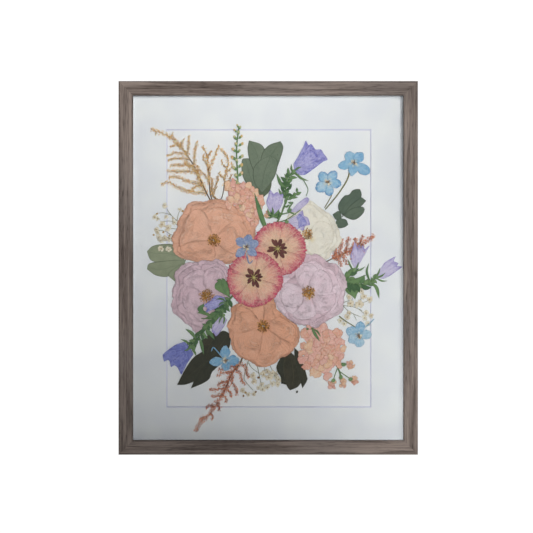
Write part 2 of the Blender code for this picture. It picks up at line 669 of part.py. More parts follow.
LEAVES = {
    # name: finish, silhouette, raised leaf
    "eucalyptus_top": (
        "grey_green_leaf",
        ((-27.4, 185.9), (-17, 181.2), (-5.5, 175), (5.6, 183.1), (18, 185.1), (21.4, 175.3), (13, 153),
            (11.6, 140.4), (4.7, 125.8), (3.5, 118.1), (-0.3, 106.4), (-12.4, 103.5), (-23.6, 116.6),
            (-31.7, 130.5), (-37.5, 133.4), (-36.8, 142.2), (-38.7, 155.9), (-34.4, 160), (-27.4, 159),
            (-30.3, 172.6)),
        ((0.5, 164.2), (11.4, 153.9), (12, 142.9), (-0.3, 126.1), (-13.4, 126.9), (-22.2, 142.2),
            (-14.9, 156.8))),
    "eucalyptus_right": (
        "grey_green_leaf",
        ((103, 91.8), (110.3, 103.5), (120.4, 112.1), (133.3, 115), (135.5, 104.8), (144.2, 98.4),
            (138.5, 89.8), (140.5, 84.7), (131.9, 73.1), (120.4, 70.2), (112.9, 71.4), (116.7, 63.8),
            (110.3, 58.7), (98.7, 61.6), (93.6, 78.8), (103.4, 82.3)),
        ((107.1, 93.3), (119.5, 107.1), (131.2, 110.1), (130.4, 99.1), (120.9, 88.2), (110, 86))),
    "eucalyptus_left": (
        "grey_green_leaf",
        ((-176.9, 24.4), (-168.5, 31.8), (-149.9, 34.7), (-134.6, 31.9), (-118.5, 21.7), (-120, 5.7),
            (-130.9, -7.5), (-135, -20.8), (-145.5, -15.5), (-148, -12.9), (-163.9, -11.4),
            (-177.4, -2.1), (-171.4, 11.4)),
        ((-171.8, -2.4), (-160.9, 6.4), (-143.4, 9.3), (-131.7, 2.7), (-143.4, -6.7), (-160.9, -8.2))),
    "eucalyptus_bottom_right": (
        "dark_leaf",
        ((13.2, -140.6), (18.4, -131.7), (27.5, -119.9), (40, -114.1), (47.5, -127.2), (51.3, -144.3),
            (55.7, -155.5), (57.1, -164.4), (54.9, -175), (49.7, -176.4), (41.5, -172.6),
            (31.9, -179.3), (29.2, -173.3), (19.2, -169), (18.4, -159.2)),
        ((31.9, -122.8), (42.1, -124.3), (47.2, -143.3), (42.1, -163.7), (28.9, -160.8), (23.1, -143.3))),
    "eucalyptus_bottom_left": (
        "dark_leaf",
        ((-106.8, -112.6), (-99.7, -107.3), (-90.8, -102.2), (-83.3, -94.8), (-65.4, -91.4),
            (-54.3, -102.4), (-55, -114.1), (-67.4, -137.4), (-81, -151.3), (-86.3, -161.8),
            (-96, -169.3), (-105.7, -170.3), (-113.1, -175.5), (-119.1, -170), (-128, -171.9),
            (-132.5, -170.7), (-128.8, -164.7), (-130.9, -158.7), (-122.8, -150.6), (-109.8, -128.2)),
        ((-87.9, -105.3), (-70.3, -100.2), (-63, -112.6), (-74.7, -131.6), (-92.2, -137.4),
            (-96.6, -119.9))),
}
RAISED_LEAF_RISE = 0.25


def build_leaves():
    """Bunches of round grey leaves: the silhouette of each with its foremost leaf raised on it."""
    for name, (finish, silhouette, raised) in LEAVES.items():
        base = flat(silhouette, level(0), rounded=True)
        foremost = flat(raised, level(0) + 0.1, LEAF_THICKNESS - 0.1 + RAISED_LEAF_RISE, rounded=True)
        press(name, finish, [base, foremost])


# ---------------------------------------------------------------- feathery plumes

def plume(path, width=4.4, shoots=()):
    """A branchlet thick with tiny tufts."""
    return Shoot(path, width, kind="plume", shoots=shoots)


GOLD_ASTILBE_MAIN = Shoot(
    ((-82, 94.7), (-96, 122.5), (-109.3, 150.2), (-126.1, 175), (-134.6, 184.5), (-146.3, 192.9),
        (-170.8, 201.6)), 1.7, shoots=[
        plume(((-131.7, 181.2), (-137.5, 177.1), (-143.5, 177.5))),
        plume(((-121.5, 168.5), (-134.6, 167.7), (-147.7, 163.4))),
        plume(((-116.2, 160.2), (-131.7, 159.6), (-145.7, 156.5))),
        plume(((-109.3, 150.2), (-125.8, 149.9), (-143.4, 148.8))),
        plume(((-105.4, 142), (-127.3, 140.9), (-148.5, 140.6))),
        plume(((-96, 122.5), (-109.8, 125.1), (-122.9, 127.6), (-136.1, 134.2), (-145.3, 132.1))),
        plume(((-90.1, 110.5), (-111.2, 111.1), (-130.9, 117.2), (-144.1, 124.5), (-155.8, 122.5))),
        plume(((-127.6, 176.7), (-123.2, 189.4))),
        plume(((-119.1, 164.8), (-116.3, 179.4), (-115.9, 193.6))),
        plume(((-108.9, 149.3), (-106.8, 167.7), (-103.1, 184.5))),
        plume(((-161.6, 198.4), (-164.5, 194.3))),
        plume(((-142.6, 190.2), (-139, 197.7))),
    ])
GOLD_ASTILBE_SIDE = Shoot(
    ((-74.7, 86), (-84.2, 106.4), (-86.3, 132.1), (-87.6, 153.1), (-92.2, 172.1),
        (-96.3, 176.8)), 1.6, shoots=[
        plume(((-86, 126.9), (-94.4, 137.1), (-101, 143.7))),
        plume(((-87.3, 148.8), (-94, 157.5), (-94.9, 164.8))),
        plume(((-87, 142.9), (-79.8, 157.5), (-72.1, 178.5))),
        plume(((-89.6, 160.4), (-85.2, 166.3), (-83, 171.4))),
        Shoot(((-79.1, 94.7), (-68.2, 102), (-63.8, 121.9), (-61.6, 135.9), (-59, 149.9), (-60.3, 161),
            (-69.3, 173.6)), 1.4, shoots=[
            plume(((-62.5, 131.2), (-69.2, 134.2), (-72.1, 140.1))),
            plume(((-59.8, 145.1), (-66, 151), (-68.2, 157.5))),
            plume(((-61, 140), (-54.3, 145.1), (-52.8, 154.6))),
            plume(((-63.3, 123.9), (-56.5, 128.3), (-54.3, 137.1))),
        ]),
    ])
RUST_ASTILBE_RIGHT = Shoot(
    ((85.9, 8.6), (99, 15.2), (112.2, 21), (125.3, 26.1), (138.5, 34.9), (154.7, 47.4)), 2.6, shoots=[
        plume(((94.7, 13), (98.3, 26.1), (102, 34.9))),
        plume(((102.7, 16.8), (106.3, 30.5), (109.1, 42.2))),
        plume(((112.2, 21), (115.1, 33.4), (117.7, 44.7))),
        plume(((121.7, 24.6), (126, 35.6), (127.7, 43.6))),
        plume(((131.4, 29.9), (135.5, 40.7), (138.5, 48))),
        plume(((98.3, 14.7), (104.9, 8.6), (106.8, 1.9))),
        plume(((107.1, 18.7), (112.2, 11.5), (114.7, 4.2))),
        plume(((119.5, 23.9), (123.1, 18.1), (122.4, 11.5))),
        plume(((131.2, 29.9), (137.7, 26.1), (141.4, 22.5))),
    ])
RUST_ASTILBE_BOTTOM = Shoot(
    ((-38.2, -131.6), (-48.4, -147.7), (-54.1, -156.4), (-59.2, -168.1), (-65.1, -181.2),
        (-72.1, -191.5), (-78.1, -201.7), (-87, -214.8), (-99, -226.5), (-106.4, -238.2)), 1.8,
    shoots=[
        plume(((-45.5, -143.3), (-58.7, -145.5), (-73.3, -149.4))),
        plume(((-52.1, -152.9), (-64.5, -153.5), (-75.2, -157.9))),
        plume(((-57.8, -164.6), (-66.7, -167.4), (-74.4, -171.7))),
        plume(((-61.6, -173.6), (-74.7, -177.6), (-85.5, -178.3))),
        plume(((-67.4, -184.7), (-76.2, -187.1), (-83.3, -187.8))),
        plume(((-78.1, -201.7), (-84.9, -200.9), (-90.8, -205.3))),
        plume(((-89.3, -216.9), (-95.2, -217), (-100.3, -220.7))),
        plume(((-43.8, -140.3), (-33.3, -143.3), (-31.9, -152), (-28.1, -160.8))),
        plume(((-48.4, -147.7), (-40.3, -155), (-39, -165.2), (-33.3, -171))),
        plume(((-54.3, -157), (-50.6, -169.6), (-45.5, -179), (-46.8, -186.3))),
        plume(((-60.7, -171.6), (-57.2, -180.5), (-52.8, -188.5))),
        plume(((-66.8, -183.9), (-62.3, -190), (-61.6, -196.6))),
        plume(((-75.5, -197.3), (-71.1, -202.4), (-71.8, -209))),
        plume(((-84.2, -210.7), (-80.6, -216.3), (-83.5, -222.1))),
    ])


def build_plumes():
    """Gold and rust plumes: tufted branchlets on a thin bare stem."""
    press("gold_astilbe_main", "gold_plume", [flat(drawn(GOLD_ASTILBE_MAIN), level(0))])
    press("gold_astilbe_side", "gold_plume", [flat(drawn(GOLD_ASTILBE_SIDE), level(1))])
    press("rust_astilbe_right", "rust_plume", [flat(drawn(RUST_ASTILBE_RIGHT), level(0))])
    press("rust_astilbe_bottom", "rust_plume", [flat(drawn(RUST_ASTILBE_BOTTOM), level(0))])


# ---------------------------------------------------------------- gypsophila

THREAD = 0.9                    # width of its stems


def bloom(path, radius=4.4, shoots=()):
    """A thread stem that ends in a tiny round bloom."""
    return Shoot(path, THREAD, bloom=radius, shoots=shoots)


GYPSOPHILA_LEFT = Shoot(((-117.1, 23.2), (-118.5, 34.9), (-118.5, 46.6), (-120, 61.2),
    (-122.9, 71.4)), 1.2, shoots=[
    bloom(((-121.7, 67), (-132.7, 69), (-143.9, 79.6), (-148.5, 87.4)), shoots=[
        bloom(((-141.2, 76.6), (-150.7, 79.6), (-159.6, 79.6)), 1.4),
        bloom(((-133.1, 69.5), (-130.9, 79.4)), 3.0)]),
    bloom(((-120, 61.2), (-133.1, 63.5), (-141.2, 67.6), (-146.9, 71.7)), 3.6, shoots=[
        bloom(((-137.5, 65.7), (-150.7, 67), (-160.9, 72)), 4.2)]),
    bloom(((-119.4, 55.3), (-134.6, 56.8), (-144.8, 58.8)), 5.0),
    bloom(((-118.8, 49.5), (-140.4, 48), (-149.5, 53.3), (-158.5, 54.7)), 4.8, shoots=[
        bloom(((-148.9, 53), (-152.1, 50.1)), 1.4)]),
    bloom(((-118.5, 42.2), (-134.6, 41.6), (-144.1, 42.2), (-151.4, 41.9)), 6.4, shoots=[
        bloom(((-133.9, 41.6), (-141.2, 46)), 1.8)]),
    bloom(((-117.9, 31.9), (-128.8, 30.8), (-139.3, 27.6)), 4.6, shoots=[
        bloom(((-131.7, 30.2), (-145.5, 34), (-151.5, 31.4)), 4.2)]),
])
GYPSOPHILA_RIGHT = Shoot(((96.1, -46.9), (102, -52), (111.4, -55.4), (124.3, -57.3), (132.2, -60.3),
    (137.6, -63.3)), THREAD, bloom=3.8,
    shoots=[
        bloom(((105.6, -53.3), (113.6, -49.2), (119.2, -46)), 4.4),
        bloom(((119.5, -56.5), (129, -51.9), (136.1, -45.4)), 4.4, shoots=[
            bloom(((129.1, -51.7), (141.4, -49.5), (145.2, -47.2)), 3.8)]),
        bloom(((107.8, -54.1), (116.4, -61.5), (124.3, -67.3), (135, -73.2)), 3.4, shoots=[
            bloom(((118, -62.7), (116.3, -66.8)), 5.0),
            bloom(((126.2, -68.2), (130.4, -79.8)), 1.2)]),
    ])
GYPSOPHILA_BOTTOM = Shoot(((2.7, -122.8), (-9, -128.7), (-23.6, -130.1), (-35.3, -134.5)), 1.2, shoots=[
    Shoot(((-28, -131.9), (-34.6, -158.9), (-31.9, -166.6), (-23, -178)), THREAD, bloom=3.8, shoots=[
        bloom(((-34.1, -160.8), (-26.5, -164.6)), 3.2),
        bloom(((-31.5, -149.7), (-24.5, -154.1)), 4.4),
        bloom(((-32.4, -165.8), (-34.4, -173.9), (-35.9, -176.3)), 4.2)]),
    Shoot(((-19.2, -129.7), (-14.1, -152), (-11.4, -166.6), (-11.1, -171.9)), THREAD, bloom=3.6, shoots=[
        bloom(((-13.8, -154.2), (-17.2, -164.3)), 2.6),
        bloom(((-12.2, -161.5), (-4.9, -168.1)), 3.6)]),
    Shoot(((-9, -128.7), (-6.4, -143.7), (-4.9, -151.4)), THREAD, bloom=5.0),
    Shoot(((-3.2, -125.7), (3.4, -143.3), (8.5, -156.4), (11.4, -160.2)), THREAD, bloom=4.2, shoots=[
        bloom(((3.5, -143.9), (2.4, -159.3), (5, -166)), 3.6),
        bloom(((4.1, -145), (10, -142.4)), 2.6)]),
])


def build_gypsophila():
    """Sprays of thread stems with tiny round blooms."""
    press("gypsophila_left", "cream_bloom", [flat(drawn(GYPSOPHILA_LEFT), level(1))])
    press("gypsophila_right", "cream_bloom", [flat(drawn(GYPSOPHILA_RIGHT), level(0))])
    press("gypsophila_bottom", "cream_bloom", [flat(drawn(GYPSOPHILA_BOTTOM), level(1))])


# ---------------------------------------------------------------- bellflowers

def leaf(path, width):
    """A narrow pointed leaf."""
    return Shoot(path, width, kind="leaf")


CAMPANULA_TOP_HEIGHT = 3.35
CAMPANULA_TOP = Shoot(
    ((-0.3, 43.6), (16.4, 70.6), (22.4, 86), (26.5, 100.6), (26.9, 126.9), (34.1, 137.8)), 3.2,
    crown=((31.1, 152), (40.6, 142.2), (45.7, 144.4), (46.5, 134.2), (59, 127.3)), shoots=[
        leaf(((4.1, 50.2), (-5.2, 67), (-19.7, 109.2)), 8.0),
        leaf(((26.6, 116.6), (19.5, 122.5), (12.2, 138.1)), 4.8),
        leaf(((26.5, 100.6), (19.6, 105.5), (14.9, 116.3)), 3.6),
        leaf(((26.5, 99.1), (36.2, 102.9), (43.8, 112)), 3.4),
        Shoot(((28.1, 128.6), (49.4, 124.7), (57.9, 115), (54.6, 104.1)), 2.2),
        Shoot(((19.5, 78.1), (31.1, 81.3), (37.7, 85.4), (51.6, 97.4)), 8.6, kind="bell",
              crown=((56.7, 102.9), (60.2, 99.7), (59.9, 97.1))),
        Shoot(((10.8, 62), (23.1, 64.1), (31.9, 66.1), (43.5, 67.6)), 9.0, kind="bell",
              crown=((49.8, 83.1), (54.6, 71.7), (60.5, 62.8), (51.1, 55.9), (43.8, 52.2))),
        Shoot(((16.7, 71.4), (10.7, 74.9), (7, 76)), 2.4,
              crown=((1.2, 70.6), (-0.5, 78.7), (5.6, 86.3), (12.9, 84.8))),
    ])
CAMPANULA_TOP_BELL = ((35.5, 148), (38.7, 152.6), (45.7, 167), (51.6, 179.4), (55.1, 186.4),
    (59.2, 178.5), (62.7, 181.3), (69.1, 172.7), (77, 172.7), (80.9, 167.2), (87.5, 157.5),
    (79.9, 155.3), (66.9, 145.1), (53.9, 135.9), (43.8, 137.1))
CAMPANULA_TOP_PALE_BELL = ((0.5, 105), (2.7, 113.6), (7.8, 109.2), (12.9, 111.4), (17.6, 108.5),
    (22.2, 107.7), (20.8, 94.7), (16.4, 83.8), (10.7, 80.9), (3.5, 83.3), (-2.6, 94.7))

CAMPANULA_RIGHT_HEIGHT = level(2)
CAMPANULA_RIGHT = Shoot(
    ((99, -27.9), (112.2, -25.3), (126.8, -24.4), (141.4, -23.8), (149.3, -20.9), (154.5, -16.2)), 2.6,
    crown=((151.7, -13.9), (162.6, -0), (164, -8.4), (170.7, -7.3), (166.9, -13.3), (174.2, -18.7),
        (157.4, -22.1)), shoots=[
        leaf(((149.3, -20.9), (143.7, -6), (146.9, 6.7)), 3.0),
        leaf(((149, -21.5), (157.4, -28.1), (164.2, -36.5), (162.3, -44.6)), 4.6),
        leaf(((119.5, -24.7), (121.5, -33.8), (127.4, -46.9)), 12.0),
        Shoot(((110.7, -25.6), (116.6, -14), (123.9, -4)), 3.6, crown=((120.4, -0.2), (115.7, 13),
            (124.6, 2.7), (132.3, 9), (133.3, 1.3), (142, 1.6), (129.7, -5.7)),
              shoots=[leaf(((113.6, -20.6), (105.6, -15.5), (104.1, -5.3)), 6.0),
                      leaf(((113.9, -20.3), (129.7, -16.8), (142.8, -13.9)), 6.0)]),
    ])
CAMPANULA_RIGHT_BELL_LOWER = ((122.4, 5.1), (120.9, 13), (122.7, 26.1), (125.8, 38.2), (129.7, 32.7),
    (132, 35.2), (135.2, 30.8), (138.3, 33.6), (142.8, 29), (148.2, 32.7), (143.6, 21.7), (137.6, 10),
    (133.5, 2.7))
CAMPANULA_RIGHT_BELL_UPPER = ((161.5, -6.7), (163.9, 0.4), (172.8, 8), (181.8, 12.2), (185.8, 16.9),
    (184.6, 9.3), (189.6, 7.3), (188.7, 3), (195.8, 2.5), (193.1, -0.8), (176.6, -11.9), (168.2, -15.4))

CAMPANULA_LEFT_HEIGHT = 4.05
CAMPANULA_LEFT = Shoot(
    ((-44.1, -32.3), (-55.2, -44.3), (-63, -54.2), (-72.1, -63.7), (-80, -71.7), (-85.4, -82.5),
        (-92.2, -90), (-104.2, -103.7), (-109.8, -110.3)), 3.4,
    crown=((-104.5, -127.2), (-112, -117.9), (-121.3, -120.8), (-117.1, -112.6), (-128, -103.7)), shoots=[
        leaf(((-50.6, -39.5), (-64.5, -35.9), (-76.2, -30), (-75.3, -24.1), (-65.1, -18.3)), 6.4),
        Shoot(((-56.9, -46.6), (-65.2, -45.7), (-77.6, -50.7), (-85.7, -55.4)), 12.6, kind="bell",
              crown=((-84.1, -62.4), (-88.6, -60.6), (-90.2, -62.8), (-90.8, -58), (-93.4, -54.8))),
        leaf(((-80.6, -73.5), (-93.7, -68.8), (-102.5, -62.2), (-96, -55.1)), 6.4),
        leaf(((-100.1, -98.9), (-110.5, -94.5), (-120.6, -88.8)), 4.8),
        Shoot(((-68, -59.5), (-65.7, -69.4), (-70.9, -81.9), (-76.8, -92.2)), 11.0, kind="bell",
              crown=((-75.6, -99.8), (-78.5, -95.1), (-82, -91.3))),
        leaf(((-89.9, -87.8), (-85.8, -95.1), (-79.8, -106.8)), 5.0),
        leaf(((-100.4, -99.3), (-96.6, -112.6), (-93.7, -126.8)), 4.6),
    ])
CAMPANULA_LEFT_BELL = ((-122.9, -108.2), (-124.7, -106.6), (-135.5, -111.9), (-148.9, -121.5),
    (-153, -126.8), (-151.8, -137.1), (-147.7, -133.9), (-143.6, -135.7), (-142.2, -144.6),
    (-136.9, -142.4), (-131.7, -146.2), (-126.6, -155.8), (-122, -147.1), (-117.5, -139.5),
    (-109.8, -127.5), (-110.1, -119.2))


def build_bellflowers():
    """Three sprays: leafy stems with their small bells, and the large bells on their own."""
    press("campanula_top_stem", "green_stem", [flat(drawn(CAMPANULA_TOP), CAMPANULA_TOP_HEIGHT)])
    press("campanula_top_bell", "violet_bell", [flat(CAMPANULA_TOP_BELL, CAMPANULA_TOP_HEIGHT - LEVEL_STEP)])
    press("campanula_top_pale_bell", "violet_bell",
          [flat(CAMPANULA_TOP_PALE_BELL, CAMPANULA_TOP_HEIGHT - LEVEL_STEP)])
    press("campanula_right_stem", "green_stem", [flat(drawn(CAMPANULA_RIGHT), CAMPANULA_RIGHT_HEIGHT)])
    press("campanula_right_bell_lower", "violet_bell", [flat(CAMPANULA_RIGHT_BELL_LOWER, level(1))])
    press("campanula_right_bell_upper", "violet_bell", [flat(CAMPANULA_RIGHT_BELL_UPPER, level(1))])
    press("campanula_left_stem", "green_stem", [flat(drawn(CAMPANULA_LEFT), CAMPANULA_LEFT_HEIGHT)])
    press("campanula_left_bell", "violet_bell",
          [flat(CAMPANULA_LEFT_BELL, CAMPANULA_LEFT_HEIGHT - LEVEL_STEP)])


# ---------------------------------------------------------------- stock sprays

UPPER_STOCK_STEM = Shoot(((-39.7, 90.4), (-43.3, 113.7), (-44.9, 142.9), (-45.7, 174.3),
    (-43.5, 202.1)), 2.2, bloom=3.2, shoots=[
    Shoot(((-44.6, 128.3), (-49, 130.9)), 1.6, bloom=2.8),
    Shoot(((-45.1, 146.4), (-51.9, 157.5)), 1.2, bloom=3.0),
    Shoot(((-45.2, 172.1), (-49, 174)), 1.4, bloom=2.8),
    Shoot(((-44.8, 188.2), (-47.6, 190.8)), 1.4, bloom=2.6),
    Shoot(((-44.1, 196.4), (-47.1, 200.5)), 1.4, bloom=2.2),
    Shoot(((-44.6, 189.6), (-40.3, 192)), 1.4, bloom=2.8),
    Shoot(((-45.4, 178), (-39.7, 180.4)), 1.4, bloom=2.9),
    Shoot(((-45.5, 160.4), (-39.7, 163.7)), 1.4, bloom=2.9),
    Shoot(((-45.1, 145.8), (-41.7, 149.6)), 1.4, bloom=2.6),
])
UPPER_STOCK_FLORETS = (
    # centre, radius, petals, turn
    ((-49.2, 102.6), 11.5, 4, 0.4), ((-41.7, 118.1), 10.0, 4, 0.0), ((-26.5, 113), 12.0, 4, 0.9),
    ((-31.2, 88), 13.0, 4, 0.3), ((-19.8, 70.8), 12.5, 4, 0.7), ((-56.3, 116.1), 6.5, 3, 0.2),
)
LOWER_STOCK_STEM = Shoot(((55.2, -81.9), (64, -92.2), (78.6, -112.6), (94.7, -134.5), (102.8, -149.1),
    (105.5, -158.7)), 2.4, bloom=4.4, shoots=[
    Shoot(((99, -141.8), (107.8, -138.9), (112.9, -139.8)), 2.2, bloom=5.4),
    Shoot(((103.7, -151.4), (113.6, -157.9), (120.1, -162.8)), 1.6, bloom=4.4),
    Shoot(((101.2, -146.2), (96.1, -160.8), (94.7, -166)), 1.8, bloom=4.8),
])
LOWER_STOCK_FLORETS = (
    ((54.5, -99.5), 12.0, 4, 0.2), ((73.5, -93.6), 12.0, 4, 0.6), ((61.1, -118.4), 13.5, 4, 0.0),
    ((83, -109.7), 13.5, 4, 0.8), ((99.8, -114.8), 13.5, 4, 0.3), ((79.3, -133.8), 14.0, 4, 0.5),
    ((99.8, -133.8), 11.5, 4, 0.1), ((83, -148.4), 11.0, 4, 0.7),
)
FLORET_RISE = 0.05


def build_stock(name, height, stem, florets):
    """A stock spray: a budded stem with a crowd of four-petalled florets, each a little higher."""
    meshes = [flat(drawn(stem), height, 0.3)]
    for number, (centre, radius, petals, turn) in enumerate(florets):
        floret = rosette(centre, radius, petals, notch=0.7, turn=turn)
        rise = 0.28 + FLORET_RISE * (number % 4) + 0.007 * number
        meshes.append(flat(floret, height + 0.03 + 0.006 * number, rise))
    press(name, "stock_petal", meshes)


# ---------------------------------------------------------------- everything in order

clear_scene()
PARTS = collection("pressed_flower_frame")
CUTTERS = collection("cutters")
PICTURE_CENTRE = empty("picture_centre", (0, 0, PICTURE_CENTRE_Z * MM))
PICTURE_PLANE = empty("picture_plane", (0, -MAT_FRONT * MM, PICTURE_CENTRE_Z * MM),
    (math.radians(90), 0, 0))

build_rails(PICTURE_CENTRE)
build_glazing(PICTURE_CENTRE)
build_boards(PICTURE_CENTRE)
build_tabs(PICTURE_CENTRE)
build_hanger(PICTURE_CENTRE)
build_leaves()
build_plumes()
build_gypsophila()
build_delphiniums()
build_stock("upper_stock", level(3), UPPER_STOCK_STEM, UPPER_STOCK_FLORETS)
build_stock("lower_stock", level(1), LOWER_STOCK_STEM, LOWER_STOCK_FLORETS)
build_roses()
build_bellflowers()
build_ranunculuses()
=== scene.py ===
"""The looks of a pressed flower frame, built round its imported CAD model.

Everything ends up in metres in the CAD frame: +Z is up, the front faces -Y, and the origin is the middle of
the top rail's rear face. The pressed flowers are drawn in the picture plane, in millimetres to the right of
its middle and up from it, with their height towards the viewer.
"""
import logging
import math
import random
from collections.abc import Iterable, Iterator, Sequence
from contextlib import contextmanager
from dataclasses import dataclass, field
from enum import Enum
from functools import partial

import bmesh
import bpy
import numpy as np
from mathutils import Matrix, Vector, noise


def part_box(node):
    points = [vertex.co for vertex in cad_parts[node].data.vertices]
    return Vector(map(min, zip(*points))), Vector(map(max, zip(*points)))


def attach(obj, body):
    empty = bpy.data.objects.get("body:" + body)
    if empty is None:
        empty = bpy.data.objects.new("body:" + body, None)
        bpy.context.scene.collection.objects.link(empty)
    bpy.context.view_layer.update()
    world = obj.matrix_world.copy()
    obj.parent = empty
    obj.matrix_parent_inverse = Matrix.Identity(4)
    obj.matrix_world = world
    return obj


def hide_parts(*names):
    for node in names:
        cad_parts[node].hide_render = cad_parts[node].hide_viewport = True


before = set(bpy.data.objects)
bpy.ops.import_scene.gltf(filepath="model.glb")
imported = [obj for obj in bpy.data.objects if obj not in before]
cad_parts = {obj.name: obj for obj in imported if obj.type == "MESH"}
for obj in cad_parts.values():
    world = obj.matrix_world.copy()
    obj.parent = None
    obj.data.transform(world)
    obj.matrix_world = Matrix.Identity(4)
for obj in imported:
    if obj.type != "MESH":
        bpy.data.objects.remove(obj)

LOG = logging.getLogger("pressed_flower_frame")

Point = tuple[float, float]
Colour = tuple[float, float, float]
Seen = tuple[int, int, int]                         # a colour as it shows, in 8-bit values
Place = tuple[float, float, float]
Socket = bpy.types.NodeSocket

MM = 0.001
BODY = "root"
GOLDEN_ANGLE = 2.39996          # spreads what it turns evenly round a middle, in radians
ANY_TURN = 6.3                  # a full turn and a little more, in radians
FAR_FROM_EDGE = 10.0            # stands for a distance to the edge in mm where there is none
MAT_FRONT = -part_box("mat_board")[0].y / MM          # distance of the mat's face from the wall
CENTRE_Z = (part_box("frame_top")[1].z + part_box("frame_bottom")[0].z) / 2


# ---------------------------------------------------------------- shader nodes

class NodeSheet:
    """A node tree being laid out: adds nodes, sets their inputs and links them."""

    def __init__(self, tree: bpy.types.NodeTree) -> None:
        """Work on the node tree of a material, the world or a group."""
        self.tree = tree

    def feed(self, socket: Socket, value: object) -> None:
        """Link a socket or a node's first output into an input, or set the input's value.

        Args:
            socket: the input.
            value: a socket, a node, or a plain value; a colour may leave out its alpha.
        """
        if isinstance(value, bpy.types.Node):
            value = value.outputs[0]
        if isinstance(value, bpy.types.NodeSocket):
            self.tree.links.new(value, socket)
        elif socket.type == "RGBA" and len(value) == 3:
            socket.default_value = (*value, 1.0)
        else:
            socket.default_value = value

    def add(self, kind: str, inputs: dict | None = None, **settings: object) -> bpy.types.Node:
        """Add a node.

        Args:
            kind: Blender's name of the node's type, without "ShaderNode".
            inputs: values or sockets for its inputs, by name or number.
            settings: the node's own properties.

        Returns:
            The node.
        """
        node = self.tree.nodes.new(kind if kind.startswith("Node") else f"ShaderNode{kind}")
        for key, value in settings.items():
            setattr(node, key, value)
        for key, value in (inputs or {}).items():
            self.feed(node.inputs[key], value)
        return node

    def math(self, operation: str, first: object, second: object = 0.0, clamp: bool = False) -> Socket:
        """Output of a Math node with two values."""
        return self.add("Math", {0: first, 1: second}, operation=operation, use_clamp=clamp).outputs[0]

    def plus(self, first: object, second: object) -> Socket:
        """Sum of two values."""
        return self.math("ADD", first, second)

    def minus(self, first: object, second: object) -> Socket:
        """One value less another."""
        return self.math("SUBTRACT", first, second)

    def times(self, first: object, second: object) -> Socket:
        """Product of two values."""
        return self.math("MULTIPLY", first, second)

    def gap(self, first: object, second: object) -> Socket:
        """How far apart two values are."""
        return self.math("ABSOLUTE", self.minus(first, second))

    def fade(self, value: object, low: object, high: object, start: float = 0.0, end: float = 1.0) -> Socket:
        """A value carried smoothly from one range to another.

        Args:
            value: what is read.
            low: the value at which the result is `start`.
            high: the value at which the result is `end`.
            start: the result at `low`.
            end: the result at `high`.

        Returns:
            The result, clamped.
        """
        names = {"Value": value, "From Min": low, "From Max": high, "To Min": start, "To Max": end}
        return self.add("MapRange", names, interpolation_type="SMOOTHSTEP").outputs[0]

    def blend(self, share: object, first: object, second: object) -> Socket:
        """The first colour with a share of the second laid over it."""
        return self.add("Mix", {0: share, 6: first, 7: second}, data_type="RGBA").outputs[2]

    def noise(self, vector: object, scale: object, detail: float = 2.0, roughness: float = 0.5,
              distortion: float = 0.0) -> Socket:
        """Noise value between 0 and 1 at a place."""
        names = {"Vector": vector, "Scale": scale, "Detail": detail, "Roughness": roughness,
                 "Distortion": distortion}
        return self.add("TexNoise", names).outputs[0]

    def stretched(self, vector: object, scale: tuple[float, float, float]) -> Socket:
        """A vector scaled apart along its three axes."""
        return self.add("VectorMath", {0: vector, 1: scale}, operation="MULTIPLY").outputs[0]

    def scaled(self, vector: object, scale: object) -> Socket:
        """A vector scaled evenly."""
        return self.add("VectorMath", {0: vector, "Scale": scale}, operation="SCALE").outputs[0]

    def split(self, vector: object) -> tuple[Socket, Socket]:
        """The first two parts of a vector."""
        parts = self.add("SeparateXYZ", {0: vector}).outputs
        return parts[0], parts[1]

    def attribute(self, name: str) -> Socket:
        """The number that the mesh keeps under a name."""
        return self.add("Attribute", attribute_name=name).outputs["Fac"]

    def relief(self, height: object, distance: float) -> Socket:
        """A normal bent by a height map; the distance is in mm."""
        return self.add("Bump", {"Height": height, "Distance": distance * MM}).outputs[0]

    def place(self) -> Socket:
        """The place in the object, in metres."""
        return self.add("TexCoord").outputs["Object"]

    def uv(self) -> Socket:
        """The place on the piece's UV map."""
        return self.add("UVMap", uv_map="UVMap").outputs[0]


